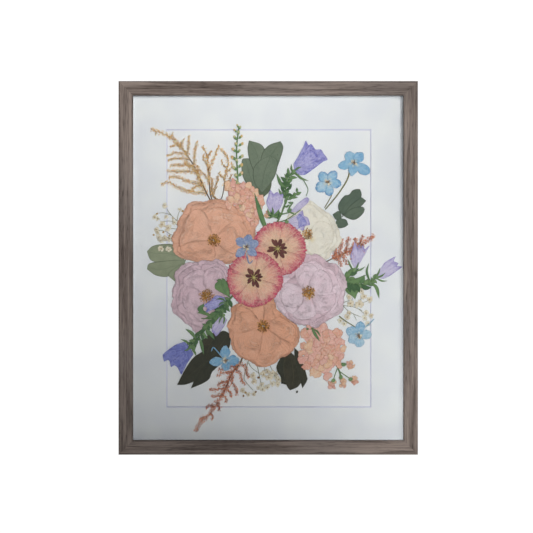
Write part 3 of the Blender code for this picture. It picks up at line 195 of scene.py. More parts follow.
class Effects:
    """The shader node groups that more than one finish uses. Each is built on its first use."""

    @staticmethod
    def _opened(name: str, numbers: dict[str, float],
                outputs: Iterable[str]) -> tuple[NodeSheet, bpy.types.NodeOutputs, bpy.types.Node]:
        """A new group with its sockets; the first input is the vector that it reads.

        Args:
            name: the group's name.
            numbers: names and start values of its other inputs.
            outputs: names of its outputs, all plain numbers.

        Returns:
            The open sheet, the sockets of what is given, and the node of what is made.
        """
        tree = bpy.data.node_groups.new(name, "ShaderNodeTree")
        tree.interface.new_socket(name="Vector", in_out="INPUT", socket_type="NodeSocketVector")
        for title, value in numbers.items():
            socket = tree.interface.new_socket(name=title, in_out="INPUT", socket_type="NodeSocketFloat")
            socket.default_value = value
        for title in outputs:
            tree.interface.new_socket(name=title, in_out="OUTPUT", socket_type="NodeSocketFloat")
        sheet = NodeSheet(tree)
        return sheet, sheet.add("NodeGroupInput").outputs, sheet.add("NodeGroupOutput")

    @staticmethod
    def _closed(sheet: NodeSheet, made: bpy.types.Node, **values: Socket) -> bpy.types.NodeTree:
        """The finished group, once its outputs are fed.

        Args:
            sheet: the group's open sheet.
            made: the node of its outputs.
            values: what each output gives, by its name.

        Returns:
            The group.
        """
        for name, value in values.items():
            sheet.feed(made.inputs[name], value)
        return sheet.tree

    @classmethod
    def place(cls, sheet: NodeSheet, name: str, inputs: dict) -> bpy.types.NodeOutputs:
        """Put one of the groups into a material.

        Args:
            sheet: the material's open sheet.
            name: crumple, wrinkles, veins, speckle, grain, tooth or wear.
            inputs: values or sockets for the group's inputs.

        Returns:
            What the group gives.
        """
        tree = bpy.data.node_groups.get(name)
        if tree is None:
            tree = getattr(cls, name)()
        node = sheet.add("Group", node_tree=tree)
        for key, value in inputs.items():
            sheet.feed(node.inputs[key], value)
        return node.outputs

    @classmethod
    def crumple(cls) -> bpy.types.NodeTree:
        """Soft wrinkles with sharp creases, as in a petal dried flat.

        Returns:
            The shader group.
        """
        sheet, given, made = cls._opened("crumple", {"Scale": 1.0}, ("Height", "Crease"))
        vector, scale = given["Vector"], given["Scale"]
        drift = sheet.add("TexNoise", {"Vector": vector, "Scale": scale, "Detail": 2.0}).outputs["Color"]
        pull = sheet.stretched(drift, (0.6, 0.6, 0.6))
        spot = sheet.add("VectorMath", {0: sheet.scaled(vector, scale), 1: pull}, operation="ADD")
        ridge = sheet.gap(sheet.noise(spot, 1.0, 3.0, 0.55), 0.5)
        # the crease lines, where the finishes lay their painted crease shading
        crease = sheet.fade(ridge, 0.0, 0.06, 1.0, 0.0)
        fold = sheet.fade(ridge, 0.0, 0.18, 0.35, 0.0)
        soft = sheet.noise(spot, 0.45)
        return cls._closed(sheet, made, Height=sheet.plus(fold, soft), Crease=crease)

    @classmethod
    def wrinkles(cls) -> bpy.types.NodeTree:
        """Thin ridges that run across a large petal, and others that leave its foot, from its UV map.

        Returns:
            The shader group.
        """
        sheet, given, made = cls._opened("wrinkles", {"Seed": 0.0, "Count": 8.0},
                                         ("Height", "Line", "Shade"))
        across, along = sheet.split(given["Vector"])
        seed = sheet.times(given["Seed"], 43.0)
        patches = sheet.noise(sheet.stretched(given["Vector"], (3.0, 3.0, 1.0)), 1.0, 1.0)
        calm = sheet.fade(patches, 0.36, 0.6, 0.25, 1.0)
        shares = (sheet.times(calm, sheet.fade(along, 0.05, 0.3)), sheet.fade(along, 0.15, 0.6, 0.8, 0.0),
                  sheet.times(calm, 0.4))
        lines: list[Socket] = []
        # level 0.5 gives each ridge, used as its height and as a painted highlight; 0.565 gives a line beside
        # it, painted as shade
        for level in (0.5, 0.565):
            total: object = 0.0
            for share, wide, long in zip(shares, (3.6, 15.0, 9.0), (given["Count"], 2.0, 17.0)):
                spot = sheet.add("CombineXYZ",
                                 {0: sheet.times(across, wide), 1: sheet.times(along, long), 2: seed})
                off = sheet.gap(sheet.noise(spot, 1.0, 2.0, 0.45, 1.1), level)
                ridge = sheet.times(sheet.fade(off, 0.0, 0.05, 1.0, 0.0), share)
                total = sheet.math("MAXIMUM", total, ridge)
            lines.append(total)
        return cls._closed(sheet, made, Height=lines[0], Line=lines[0], Shade=lines[1])

    @classmethod
    def veins(cls) -> bpy.types.NodeTree:
        """Fine lines that run the length of a petal, from its UV map.

        Returns:
            The shader group.
        """
        sheet, given, made = cls._opened("veins", {"Count": 12.0, "Width": 0.2}, ("Lines",))
        across = sheet.split(given["Vector"])[0]
        sway = sheet.noise(sheet.stretched(given["Vector"], (3.0, 1.2, 1.0)), 1.0)
        spot = sheet.times(sheet.plus(across, sheet.times(sway, 0.14)), given["Count"])
        off = sheet.gap(sheet.math("FRACT", spot), 0.5)
        line = sheet.fade(off, 0.0, given["Width"], 1.0, 0.0)
        broken = sheet.noise(sheet.stretched(given["Vector"], (9.0, 2.5, 1.0)), 2.0)
        return cls._closed(sheet, made, Lines=sheet.times(line, sheet.fade(broken, 0.3, 0.6)))

    @classmethod
    def speckle(cls) -> bpy.types.NodeTree:
        """Scattered small blotches, such as age spots and bruises.

        Returns:
            The shader group.
        """
        sheet, given, made = cls._opened("speckle", {"Scale": 400.0, "Amount": 0.3}, ("Spots",))
        fine = sheet.noise(given["Vector"], given["Scale"], 3.0, 0.6)
        threshold = sheet.minus(0.78, sheet.times(given["Amount"], 0.4))
        over = sheet.math("MULTIPLY", sheet.minus(fine, threshold), 14.0, clamp=True)
        return cls._closed(sheet, made, Spots=over)

    @classmethod
    def grain(cls) -> bpy.types.NodeTree:
        """Open straight wood grain along U, with broad bands, fine lines and dark pores.

        Returns:
            The shader group.
        """
        sheet, given, made = cls._opened("grain", {"Coarseness": 1.0}, ("Tone", "Pores", "Height"))
        spot = sheet.scaled(given["Vector"], given["Coarseness"])
        band = sheet.noise(sheet.stretched(spot, (5.0, 120.0, 1.0)), 1.0, 3.0, 0.55, 0.6)
        line = sheet.noise(sheet.stretched(spot, (11.0, 520.0, 1.0)), 1.0, 4.0, 0.65, 0.3)
        dash = sheet.noise(sheet.stretched(spot, (60.0, 900.0, 1.0)), 1.0)
        pores = sheet.times(sheet.fade(dash, 0.52, 0.68), sheet.fade(band, 0.35, 0.6, 1.0, 0.35))
        tone = sheet.plus(sheet.times(band, 0.62), sheet.times(line, 0.38))
        height = sheet.minus(sheet.times(line, 0.5), pores)
        return cls._closed(sheet, made, Tone=tone, Pores=pores, Height=height)

    @classmethod
    def tooth(cls) -> bpy.types.NodeTree:
        """The faint felt of board and card.

        Returns:
            The shader group.
        """
        sheet, given, made = cls._opened("tooth", {"Scale": 1500.0}, ("Tone", "Height"))
        fibres = sheet.noise(given["Vector"], given["Scale"], 4.0, 0.6, 0.8)
        clouds = sheet.noise(given["Vector"], 24.0, 3.0)
        tone = sheet.plus(sheet.times(fibres, 0.4), sheet.times(clouds, 0.6))
        return cls._closed(sheet, made, Tone=tone, Height=fibres)

    @classmethod
    def wear(cls) -> bpy.types.NodeTree:
        """Rubbed patches near an edge; Rim is the distance to it in millimetres.

        Returns:
            The shader group.
        """
        sheet, given, made = cls._opened("wear", {"Rim": 10.0, "Reach": 1.0}, ("Mask",))
        ragged = sheet.noise(given["Vector"], 260.0, 4.0, 0.65)
        reach = sheet.times(given["Reach"], sheet.fade(ragged, 0.35, 0.7, 0.2, 1.6))
        near = sheet.math("DIVIDE", given["Rim"], reach)
        return cls._closed(sheet, made, Mask=sheet.math("SUBTRACT", 1.0, near, clamp=True))


@dataclass(frozen=True)
class Finish:
    """A finish: its material is made on its first use."""

    name: str
    slot: str

    def material(self) -> bpy.types.Material:
        """The finish's material.

        Returns:
            The material, which is made only once.
        """
        made = bpy.data.materials.get(self.name)
        if made is None:
            made = bpy.data.materials.new(self.name)
            made.use_nodes = True
            self.lay(NodeSheet(made.node_tree), made.node_tree.nodes["Principled BSDF"].inputs)
        return made

    def lay(self, sheet: NodeSheet, shader: bpy.types.NodeInputs) -> None:
        """Lay the finish's nodes.

        Args:
            sheet: the material's open sheet.
            shader: the inputs of its Principled node.
        """
        raise NotImplementedError


@dataclass(frozen=True)
class Tissue(Finish):
    """Dried plant tissue: petal, leaf, stem or floret.

    The mesh gives UV (across, along), `tone` (one number a petal) and `rim` (distance to the edge in mm).
    """

    body: Colour = (0.5, 0.5, 0.5)
    flush: Colour = (0.5, 0.5, 0.5)          # second colour, in patches and from petal to petal
    heart: Colour = (0.5, 0.5, 0.5)          # colour at the foot of a petal
    heart_reach: float = 0.0                 # share of the length that the heart colour takes
    edge: Colour = (0.5, 0.5, 0.5)           # colour of the outer part
    edge_from: float = 1.0                   # share of the length where it starts
    edge_full: float = 1.0                   # share of the length where it is full
    streak: float = 0.0                      # how far it runs in along the veins
    rim: Colour = (0.3, 0.3, 0.3)            # colour of the very edge
    rim_width: float = 0.0                   # in mm
    rim_share: float = 0.7
    # colour of the veins and the rib, and also of the painted shade beside each wrinkle
    vein: Colour = (0.3, 0.3, 0.3)
    vein_share: float = 0.0
    vein_count: float = 14.0
    rib: float = 0.0                         # strength of a midrib with side veins
    # painted shading along the folds and the wrinkles' ridges: a painted highlight where it is lighter than
    # the body, painted shade where darker; the spots take this colour too
    crease: Colour = (0.3, 0.3, 0.3)
    # how strongly the painted crease shading lies on the crumpled folds
    crease_share: float = 0.0
    crease_scale: float = 120.0              # creases to a metre
    wrinkle: float = 0.0                     # height of the ridges across a large petal, against `bump`
    wrinkle_count: float = 8.0               # of them from foot to edge
    spots: float = 0.0
    bump: float = 0.35                       # height of the wrinkles in mm
    roughness: float = 0.72

    def lay(self, sheet: NodeSheet, shader: bpy.types.NodeInputs) -> None:
        """Lay the colours and the relief from the large to the fine.

        Args:
            sheet: the material's open sheet.
            shader: the inputs of its Principled node.
        """
        place, uv = sheet.place(), sheet.uv()
        across, along = sheet.split(uv)
        rim = sheet.attribute("rim")
        patches = sheet.noise(place, 70.0, 3.0, 0.55)
        mixed = sheet.plus(sheet.times(sheet.attribute("tone"), 0.55),
                           sheet.fade(patches, 0.35, 0.65, 0.0, 0.55))
        colour = sheet.blend(mixed, self.body, self.flush)
        height = sheet.times(sheet.noise(place, 1100.0, 3.0, 0.6), 0.25)
        if self.edge_from < 1.0:
            shifted = sheet.plus(along, sheet.times(sheet.minus(patches, 0.5), 0.3))
            if self.streak > 0.0:
                fine = sheet.noise(sheet.stretched(uv, (self.vein_count * 1.3, 1.2, 1.0)), 1.0, 3.0, 0.6)
                shifted = sheet.plus(shifted, sheet.fade(fine, 0.3, 0.7, -self.streak, self.streak))
            colour = sheet.blend(sheet.fade(shifted, self.edge_from, self.edge_full), colour, self.edge)
        if self.heart_reach > 0.0:
            colour = sheet.blend(sheet.fade(along, 0.0, self.heart_reach, 1.0, 0.0), colour, self.heart)
        if self.vein_share > 0.0:
            lines = Effects.place(sheet, "veins", {"Vector": uv, "Count": self.vein_count, "Width": 0.3})[0]
            colour = sheet.blend(sheet.times(lines, self.vein_share), colour, self.vein)
            height = sheet.plus(height, sheet.times(lines, 0.35))
        if self.rib > 0.0:
            off = sheet.gap(across, 0.5)
            middle = sheet.fade(off, 0.0, 0.035, 1.0, 0.0)
            slant = sheet.minus(sheet.times(along, 9.0), sheet.times(off, 9.0))
            side = sheet.fade(sheet.gap(sheet.math("FRACT", slant), 0.5), 0.0, 0.07, 0.45, 0.0)
            lines = sheet.times(sheet.math("MAXIMUM", middle, side), self.rib)
            colour = sheet.blend(lines, colour, self.vein)
            height = sheet.plus(height, lines)
        # painted crease shading on the crumpled folds' lines: lighter colours paint a highlight, darker ones
        # paint shade
        if self.crease_share > 0.0:
            folds = Effects.place(sheet, "crumple", {"Vector": place, "Scale": self.crease_scale})
            colour = sheet.blend(sheet.times(folds["Crease"], self.crease_share), colour, self.crease)
            height = sheet.plus(height, folds["Height"])
        if self.wrinkle > 0.0:
            inputs = {"Vector": uv, "Seed": sheet.attribute("tone"), "Count": self.wrinkle_count}
            folds = Effects.place(sheet, "wrinkles", inputs)
            away = sheet.fade(along, 0.08, 0.6, 0.1, 1.0)       # they crowd together at the foot
            # a painted highlight along each wrinkle's ridge in the crease-shading colour, and painted shade
            # beside it in the vein colour
            line = sheet.times(folds["Line"], sheet.times(away, 0.42))
            shade = sheet.times(folds["Shade"], sheet.times(away, 0.34))
            colour = sheet.blend(shade, sheet.blend(line, colour, self.crease), self.vein)
            height = sheet.plus(height, sheet.times(folds["Height"], sheet.times(away, self.wrinkle)))
        if self.spots > 0.0:
            inputs = {"Vector": place, "Scale": 420.0, "Amount": self.spots}
            spots = Effects.place(sheet, "speckle", inputs)[0]
            colour = sheet.blend(sheet.times(spots, 0.55), colour, self.crease)
        if self.rim_width > 0.0:
            near = sheet.fade(rim, 0.0, self.rim_width, self.rim_share, 0.0)
            colour = sheet.blend(near, colour, self.rim)
        sheet.feed(shader["Base Color"], colour)
        gloss = sheet.fade(patches, 0.3, 0.7, self.roughness - 0.08, self.roughness + 0.08)
        sheet.feed(shader["Roughness"], gloss)
        sheet.feed(shader["Normal"], sheet.relief(height, self.bump))
        shader["Specular IOR Level"].default_value = 0.3


@dataclass(frozen=True)
class StainedWood(Finish):
    """Open-grained wood under a thin grey-brown stain. UV is along and across the rail, in metres."""

    light: Colour = (0.290, 0.235, 0.205)
    dark: Colour = (0.105, 0.080, 0.069)
    pore: Colour = (0.040, 0.030, 0.026)
    worn: Colour = (0.300, 0.235, 0.190)
    mist: Colour = (0.190, 0.165, 0.155)

    def lay(self, sheet: NodeSheet, shader: bpy.types.NodeInputs) -> None:
        """Lay the grain, the darker arrises, a mist of stain, the pores and the wear.

        Args:
            sheet: the material's open sheet.
            shader: the inputs of its Principled node.
        """
        uv, place = sheet.uv(), sheet.place()
        grain = Effects.place(sheet, "grain", {"Vector": uv, "Coarseness": 1.0})
        colour = sheet.blend(sheet.fade(grain["Tone"], 0.38, 0.62), self.dark, self.light)
        colour = sheet.blend(sheet.fade(sheet.attribute("rim"), 0.7, 2.0, 0.55, 0.0), colour, self.pore)
        clouds = sheet.fade(sheet.noise(place, 9.0), 0.35, 0.7, 0.0, 0.35)
        colour = sheet.blend(clouds, colour, self.mist)
        colour = sheet.blend(sheet.times(grain["Pores"], 0.85), colour, self.pore)
        wear = Effects.place(sheet, "wear", {"Vector": place, "Rim": sheet.attribute("rim"), "Reach": 0.9})[0]
        colour = sheet.blend(sheet.times(wear, 0.5), colour, self.worn)
        sheet.feed(shader["Base Color"], colour)
        sheet.feed(shader["Roughness"], sheet.fade(grain["Tone"], 0.3, 0.7, 0.62, 0.46))
        sheet.feed(shader["Normal"], sheet.relief(grain["Height"], 0.12))


@dataclass(frozen=True)
class Board(Finish):
    """Mat board, card or fibreboard with a faint felt."""

    colour: Colour = (0.75, 0.77, 0.79)
    shade: Colour = (0.70, 0.72, 0.75)
    scale: float = 1500.0
    bump: float = 0.03                        # in mm
    roughness: float = 0.9

    def lay(self, sheet: NodeSheet, shader: bpy.types.NodeInputs) -> None:
        """Lay the felt.

        Args:
            sheet: the material's open sheet.
            shader: the inputs of its Principled node.
        """
        felt = Effects.place(sheet, "tooth", {"Vector": sheet.place(), "Scale": self.scale})
        sheet.feed(shader["Base Color"],
                   sheet.blend(sheet.fade(felt["Tone"], 0.35, 0.65), self.shade, self.colour))
        sheet.feed(shader["Roughness"],
                   sheet.fade(felt["Tone"], 0.3, 0.7, self.roughness, self.roughness - 0.08))
        sheet.feed(shader["Normal"], sheet.relief(felt["Height"], self.bump))
        shader["Specular IOR Level"].default_value = 0.25


@dataclass(frozen=True)
class PictureGlass(Finish):
    """Clear picture glass with a few smears; soft light and shadows pass straight through it."""

    tint: Colour = (0.992, 0.995, 0.994)
    shadow: Colour = (0.94, 0.945, 0.945)     # what it takes from the light that passes

    def lay(self, sheet: NodeSheet, shader: bpy.types.NodeInputs) -> None:
        """Lay the clear glass, its smears and the way light passes.

        Args:
            sheet: the material's open sheet.
            shader: the inputs of its Principled node.
        """
        smears = sheet.noise(sheet.stretched(sheet.place(), (6.0, 6.0, 2.0)), 3.0, 4.0, 0.6, 1.5)
        for name, value in (("Base Color", self.tint), ("Transmission Weight", 1.0), ("IOR", 1.5),
                            ("Roughness", sheet.fade(smears, 0.45, 0.8, 0.0, 0.06))):
            sheet.feed(shader[name], value)
        clear = sheet.add("BsdfTransparent", {"Color": self.shadow})
        rays = sheet.add("LightPath").outputs
        passing = sheet.math("MAXIMUM", rays["Is Shadow Ray"], rays["Is Diffuse Ray"])
        mixed = sheet.add("MixShader", {0: passing, 1: sheet.tree.nodes["Principled BSDF"], 2: clear})
        output = next(node for node in sheet.tree.nodes if node.type == "OUTPUT_MATERIAL")
        sheet.feed(output.inputs["Surface"], mixed)


@dataclass(frozen=True)
class PlatedSteel(Finish):
    """Zinc-plated steel strip, slightly dulled."""

    colour: Colour = (0.52, 0.53, 0.54)
    dull: Colour = (0.35, 0.35, 0.34)

    def lay(self, sheet: NodeSheet, shader: bpy.types.NodeInputs) -> None:
        """Lay the brushed plating and its dull spots.

        Args:
            sheet: the material's open sheet.
            shader: the inputs of its Principled node.
        """
        place = sheet.place()
        brushed = sheet.noise(sheet.stretched(place, (60.0, 900.0, 900.0)), 1.0, 3.0, 0.6)
        bloom = Effects.place(sheet, "speckle", {"Vector": place, "Scale": 300.0, "Amount": 0.5})[0]
        sheet.feed(shader["Base Color"], sheet.blend(sheet.times(bloom, 0.35), self.colour, self.dull))
        shader["Metallic"].default_value = 1.0
        sheet.feed(shader["Roughness"], sheet.fade(brushed, 0.3, 0.7, 0.28, 0.46))
        sheet.feed(shader["Normal"], sheet.relief(brushed, 0.01))


# ---------------------------------------------------------------- lines and outlines

def smooth(points: Sequence[Point], count: int, closed: bool = False, bend: float = 1.0) -> np.ndarray:
    """Even points along a curve through a few given points.

    Args:
        points: the given points.
        count: how many are wanted.
        closed: whether the curve runs round to its start; the start isn't repeated.
        bend: 1 for a round curve, 0 for straight lines.

    Returns:
        The points, one a row.
    """
    given = np.asarray(points, dtype=float)
    if closed:
        padded = np.vstack([given[-1], given, given[:2]])
    else:
        padded = np.vstack([2 * given[0] - given[1], given, 2 * given[-1] - given[-2]])
    t = np.linspace(0.0, 1.0, 9)[:-1, None]
    runs = []
    for before, start, end, after in zip(padded, padded[1:], padded[2:], padded[3:]):
        out, into = bend * (end - before) / 2, bend * (after - start) / 2
        if bend < 1.0:
            out, into = out + (1 - bend) * (end - start), into + (1 - bend) * (end - start)
        runs.append((2 * t**3 - 3 * t**2 + 1) * start + (t**3 - 2 * t**2 + t) * out
                    + (3 * t**2 - 2 * t**3) * end + (t**3 - t**2) * into)
    line = np.vstack([*runs, given[:1] if closed else given[-1:]])
    way = np.concatenate([[0.0], np.cumsum(np.hypot(*np.diff(line, axis=0).T))])
    wanted = np.linspace(0.0, way[-1], count + 1)[:-1] if closed else np.linspace(0.0, way[-1], count)
    return np.column_stack([np.interp(wanted, way, line[:, axis]) for axis in (0, 1)])


def length_of(line: np.ndarray) -> float:
    """Length of a line given by its points."""
    return float(np.hypot(*np.diff(line, axis=0).T).sum())


def ripple(x: np.ndarray, y: np.ndarray, scale: float, seed: float) -> np.ndarray:
    """Smooth noise between about -1 and 1 at many places.

    Args:
        x: first coordinates.
        y: second coordinates.
        scale: waves to a unit.
        seed: picks the pattern.

    Returns:
        The noise, in the shape of x.
    """
    flat = [noise.noise((a * scale, b * scale, seed)) for a, b in zip(x.ravel(), y.ravel())]
    return np.asarray(flat).reshape(x.shape)


def crinkle(x: np.ndarray, y: np.ndarray, scale: float, seed: float) -> np.ndarray:
    """Sharp meandering ridges between 0 and 1, as in a petal that shrank while it dried.

    Args:
        x: first coordinates.
        y: second coordinates.
        scale: waves to a unit.
        seed: picks the pattern.

    Returns:
        The ridges' height, in the shape of x.
    """
    bent_x = x + 2.2 * ripple(x, y, scale * 0.6, seed + 3.1)
    bent_y = y + 2.2 * ripple(x, y, scale * 0.6, seed + 8.7)
    coarse = np.clip(1.0 - 2.3 * np.abs(ripple(bent_x, bent_y, scale, seed)), 0.0, 1.0)
    fine = np.clip(1.0 - 2.6 * np.abs(ripple(bent_x, bent_y, scale * 2.1, seed + 5.3)), 0.0, 1.0)
    return coarse**1.3 + 0.4 * fine**1.3


class HeightField:
    """How high the pressed material already reaches above the mat at every spot of the picture."""

    def __init__(self, width: float, height: float, cell: float = 0.7) -> None:
        """Start with a bare picture.

        Args:
            width: of the picture, in mm.
            height: of the picture, in mm.
            cell: size of a cell, in mm.
        """
        self.cell = cell
        self.shape = (int(height / cell) + 1, int(width / cell) + 1)
        self.low = (-width / 2, -height / 2)
        self.levels = np.zeros(self.shape)

    def lay_floor(self, low: Point, high: Point, level: float) -> None:
        """Sink a rectangle to a level: the card in the mat's window."""
        columns, rows = self._cells(np.array([low[0], high[0]]), np.array([low[1], high[1]]))
        self.levels[int(rows[0]):int(rows[1]), int(columns[0]):int(columns[1])] = level

    def _cells(self, x: np.ndarray, y: np.ndarray) -> tuple[np.ndarray, np.ndarray]:
        """Column and row of places, as fractions."""
        columns = np.clip((x - self.low[0]) / self.cell, 0, self.shape[1] - 2)
        rows = np.clip((y - self.low[1]) / self.cell, 0, self.shape[0] - 2)
        return columns, rows

    @staticmethod
    def _spread(levels: np.ndarray, reach: int) -> np.ndarray:
        """Give every cell the highest level near it.

        Args:
            levels: rows and columns of cells.
            reach: how many cells away still count.

        Returns:
            The new levels.
        """
        for axis in (0, 1):
            best = levels.copy()
            for step in range(1, reach + 1):
                for way in (-step, step):
                    best = np.maximum(best, np.roll(levels, way, axis))
            levels = best
        return levels

    @staticmethod
    def _soften(levels: np.ndarray, reach: int, rounds: int = 2) -> np.ndarray:
        """Average levels over a square of cells, more than once.

        Args:
            levels: rows and columns of cells.
            reach: how many cells away still count.
            rounds: how often.

        Returns:
            The new levels.
        """
        size = 2 * reach + 1
        for _ in range(rounds):
            for axis in (0, 1):
                before = np.repeat(levels.take([0], axis), reach + 1, axis)
                after = np.repeat(levels.take([-1], axis), reach, axis)
                sums = np.cumsum(np.concatenate([before, levels, after], axis), axis)
                upper = sums.take(range(size, sums.shape[axis]), axis)
                lower = sums.take(range(0, sums.shape[axis] - size), axis)
                levels = (upper - lower) / size
        return levels

    def support(self, x: np.ndarray, y: np.ndarray, stiffness: int) -> tuple[np.ndarray, np.ndarray]:
        """Levels on which new material comes to rest.

        Args:
            x: places to the right, in mm.
            y: places up, in mm.
            stiffness: how many cells the material bridges.

        Returns:
            The lowest level that clears what is there, and the even level that the material tends to, in mm.
        """
        (columns, rows), margin = self._cells(x, y), 4 * stiffness + 6
        c0, c1 = max(int(columns.min()) - margin, 0), min(int(columns.max()) + margin, self.shape[1])
        r0, r1 = max(int(rows.min()) - margin, 0), min(int(rows.max()) + margin, self.shape[0])
        patch = self.levels[r0:r1, c0:c1]
        touching = self._spread(patch, 1)
        even = self._soften(touching, stiffness) if stiffness > 0 else touching
        place = np.round(rows).astype(int) - r0, np.round(columns).astype(int) - c0
        return touching[place], even[place]

    def press(self, x: np.ndarray, y: np.ndarray, level: np.ndarray) -> None:
        """Raise the field to the upper face of new material.

        Args:
            x: places to the right, in mm.
            y: places up, in mm.
            level: of that face at each place, in mm.
        """
        columns, rows = self._cells(x, y)
        for column in (np.floor(columns), np.ceil(columns)):
            for row in (np.floor(rows), np.ceil(rows)):
                np.maximum.at(self.levels, (row.astype(int), column.astype(int)), level)


# ---------------------------------------------------------------- making meshes

PRESSED = 0.85          # share of its height that a pile keeps
LOOSE = 3.6             # height up to which nothing more is squeezed, in mm
GIVE = 2.6              # how far a pile can rise past that, in mm


def settled(height: np.ndarray) -> np.ndarray:
    """Heights above the mat, with what piles up high pressed together under the glass.

    Args:
        height: heights in mm.

    Returns:
        The heights, in the same order, all under the glass.
    """
    flat = PRESSED * height
    over = np.maximum(flat - LOOSE, 0.0)
    return np.minimum(flat, LOOSE) + GIVE * (1.0 - np.exp(-over / GIVE))


class Sheet:
    """A mesh under construction, in the CAD frame, with the numbers that the plant finishes read."""

    def __init__(self, name: str, finishes: Sequence[Finish]) -> None:
        """Start an empty mesh.

        Args:
            name: name of the finished object.
            finishes: what its faces are covered with.
        """
        self.name, self.finishes = name, finishes
        self.done: list[bpy.types.Mesh] = []
        self._open()

    def _open(self) -> None:
        """Start a fresh mesh with its layers."""
        self.mesh = bmesh.new()
        self.mesh.loops.layers.uv.new("UVMap")
        self.tone = self.mesh.verts.layers.float.new("tone")
        self.rim = self.mesh.verts.layers.float.new("rim")

    def _set_aside(self, limit: int = 2500) -> None:
        """Put the mesh aside once it has grown, because an operator's time grows with it.

        Args:
            limit: how many vertices it may have.
        """
        if len(self.mesh.verts) > limit:
            data = bpy.data.meshes.new("part")
            self.mesh.to_mesh(data)
            self.mesh.free()
            self.done.append(data)
            self._open()

    def grid(self, places: np.ndarray, tone: float, rim: np.ndarray, finish: int, thickness: float = 0.0,
             seam: bool = False) -> None:
        """Bend a grid of faces onto places given row by row.

        Args:
            places: array of rows, columns and (right, up, height) in mm; height is above the mat.
            tone: the number kept as `tone`.
            rim: array of rows and columns, kept as `rim`.
            finish: number of the finish.
            thickness: in mm; 0 leaves a single face.
            seam: whether the first and last column meet.
        """
        rows, columns = places.shape[:2]
        verts = bmesh.ops.create_grid(self.mesh, x_segments=columns - 1, y_segments=rows - 1, size=0.5,
                                      calc_uvs=True)["verts"]
        flat, edge = places.reshape(-1, 3), rim.ravel()
        flat[:, 2] = settled(flat[:, 2])
        for vert, (right, up, height), near in zip(verts, flat.tolist(), edge.tolist()):
            vert.co = (right * MM, -(MAT_FRONT + height) * MM, up * MM + CENTRE_Z)
            vert[self.tone] = tone
            vert[self.rim] = near
        faces = list({face for vert in verts for face in vert.link_faces})
        for face in faces:
            face.material_index = finish
            face.smooth = True
        if seam or rows > 2:
            bmesh.ops.remove_doubles(self.mesh, verts=verts, dist=0.00001)
            faces = [face for face in faces if face.is_valid]
            verts = list({vert for face in faces for vert in face.verts})
        if thickness > 0.0:
            run = bmesh.ops.extrude_face_region(self.mesh, geom=faces, use_keep_orig=True)["geom"]
            back = [item for item in run if isinstance(item, bmesh.types.BMVert)]
            bmesh.ops.translate(self.mesh, verts=back, vec=(0, thickness * MM, 0))
            closed = list({face for vert in verts + back for face in vert.link_faces})
            for face in closed:
                face.smooth = True
                face.material_index = finish
            bmesh.ops.recalc_face_normals(self.mesh, faces=closed)
        self._set_aside()

    def blob(self, spot: tuple[float, float, float], size: tuple[float, float, float], turn: float,
             tone: float, finish: int, fineness: int) -> None:
        """Add a small rounded lump.

        Args:
            spot: right, up and height of its middle, in mm.
            size: half sizes to the right, upwards and towards the viewer, in mm.
            turn: about the line of sight, in radians.
            tone: the number kept as `tone`.
            finish: number of the finish.
            fineness: subdivisions of the icosphere.
        """
        height = float(settled(np.array(spot[2])))
        place = Vector((spot[0] * MM, -(MAT_FRONT + height) * MM, spot[1] * MM + CENTRE_Z))
        matrix = (Matrix.Translation(place) @ Matrix.Rotation(-turn, 4, "Y")
                  @ Matrix.Diagonal((size[0] * MM, size[2] * MM, size[1] * MM, 1.0)))
        made = bmesh.ops.create_icosphere(self.mesh, subdivisions=fineness, radius=1.0, matrix=matrix)
        for vert in made["verts"]:
            vert[self.tone] = tone
            vert[self.rim] = FAR_FROM_EDGE
            for face in vert.link_faces:
                face.material_index = finish
                face.smooth = True
        self._set_aside()

    def finished(self, node: str) -> None:
        """Turn the mesh into an object that stands for a CAD node.

        Args:
            node: the CAD node.
        """
        self._set_aside(0)
        whole = bmesh.new()
        for part in self.done:
            whole.from_mesh(part)
            bpy.data.meshes.remove(part)
        data = bpy.data.meshes.new(self.name)
        whole.to_mesh(data)
        whole.free()
        self.mesh.free()
        place_piece(self.name, data, self.finishes, node)


def place_piece(name: str, data: bpy.types.Mesh, finishes: Sequence[Finish], *nodes: str) -> None:
    """Make an object of a mesh and tell the frame about it.

    Args:
        name: the object's name.
        data: its mesh, in the CAD frame.
        finishes: what it is covered with.
        nodes: the CAD nodes that it stands for.
    """
    for finish in finishes:
        data.materials.append(finish.material())
    piece, slot = bpy.data.objects.new(name, data), finishes[0].slot
    bpy.context.scene.collection.objects.link(piece)
    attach(piece, BODY)
    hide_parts(*nodes)
    LOG.info("%s: %d faces", name, len(data.polygons))


# ---------------------------------------------------------------- pressed plant parts

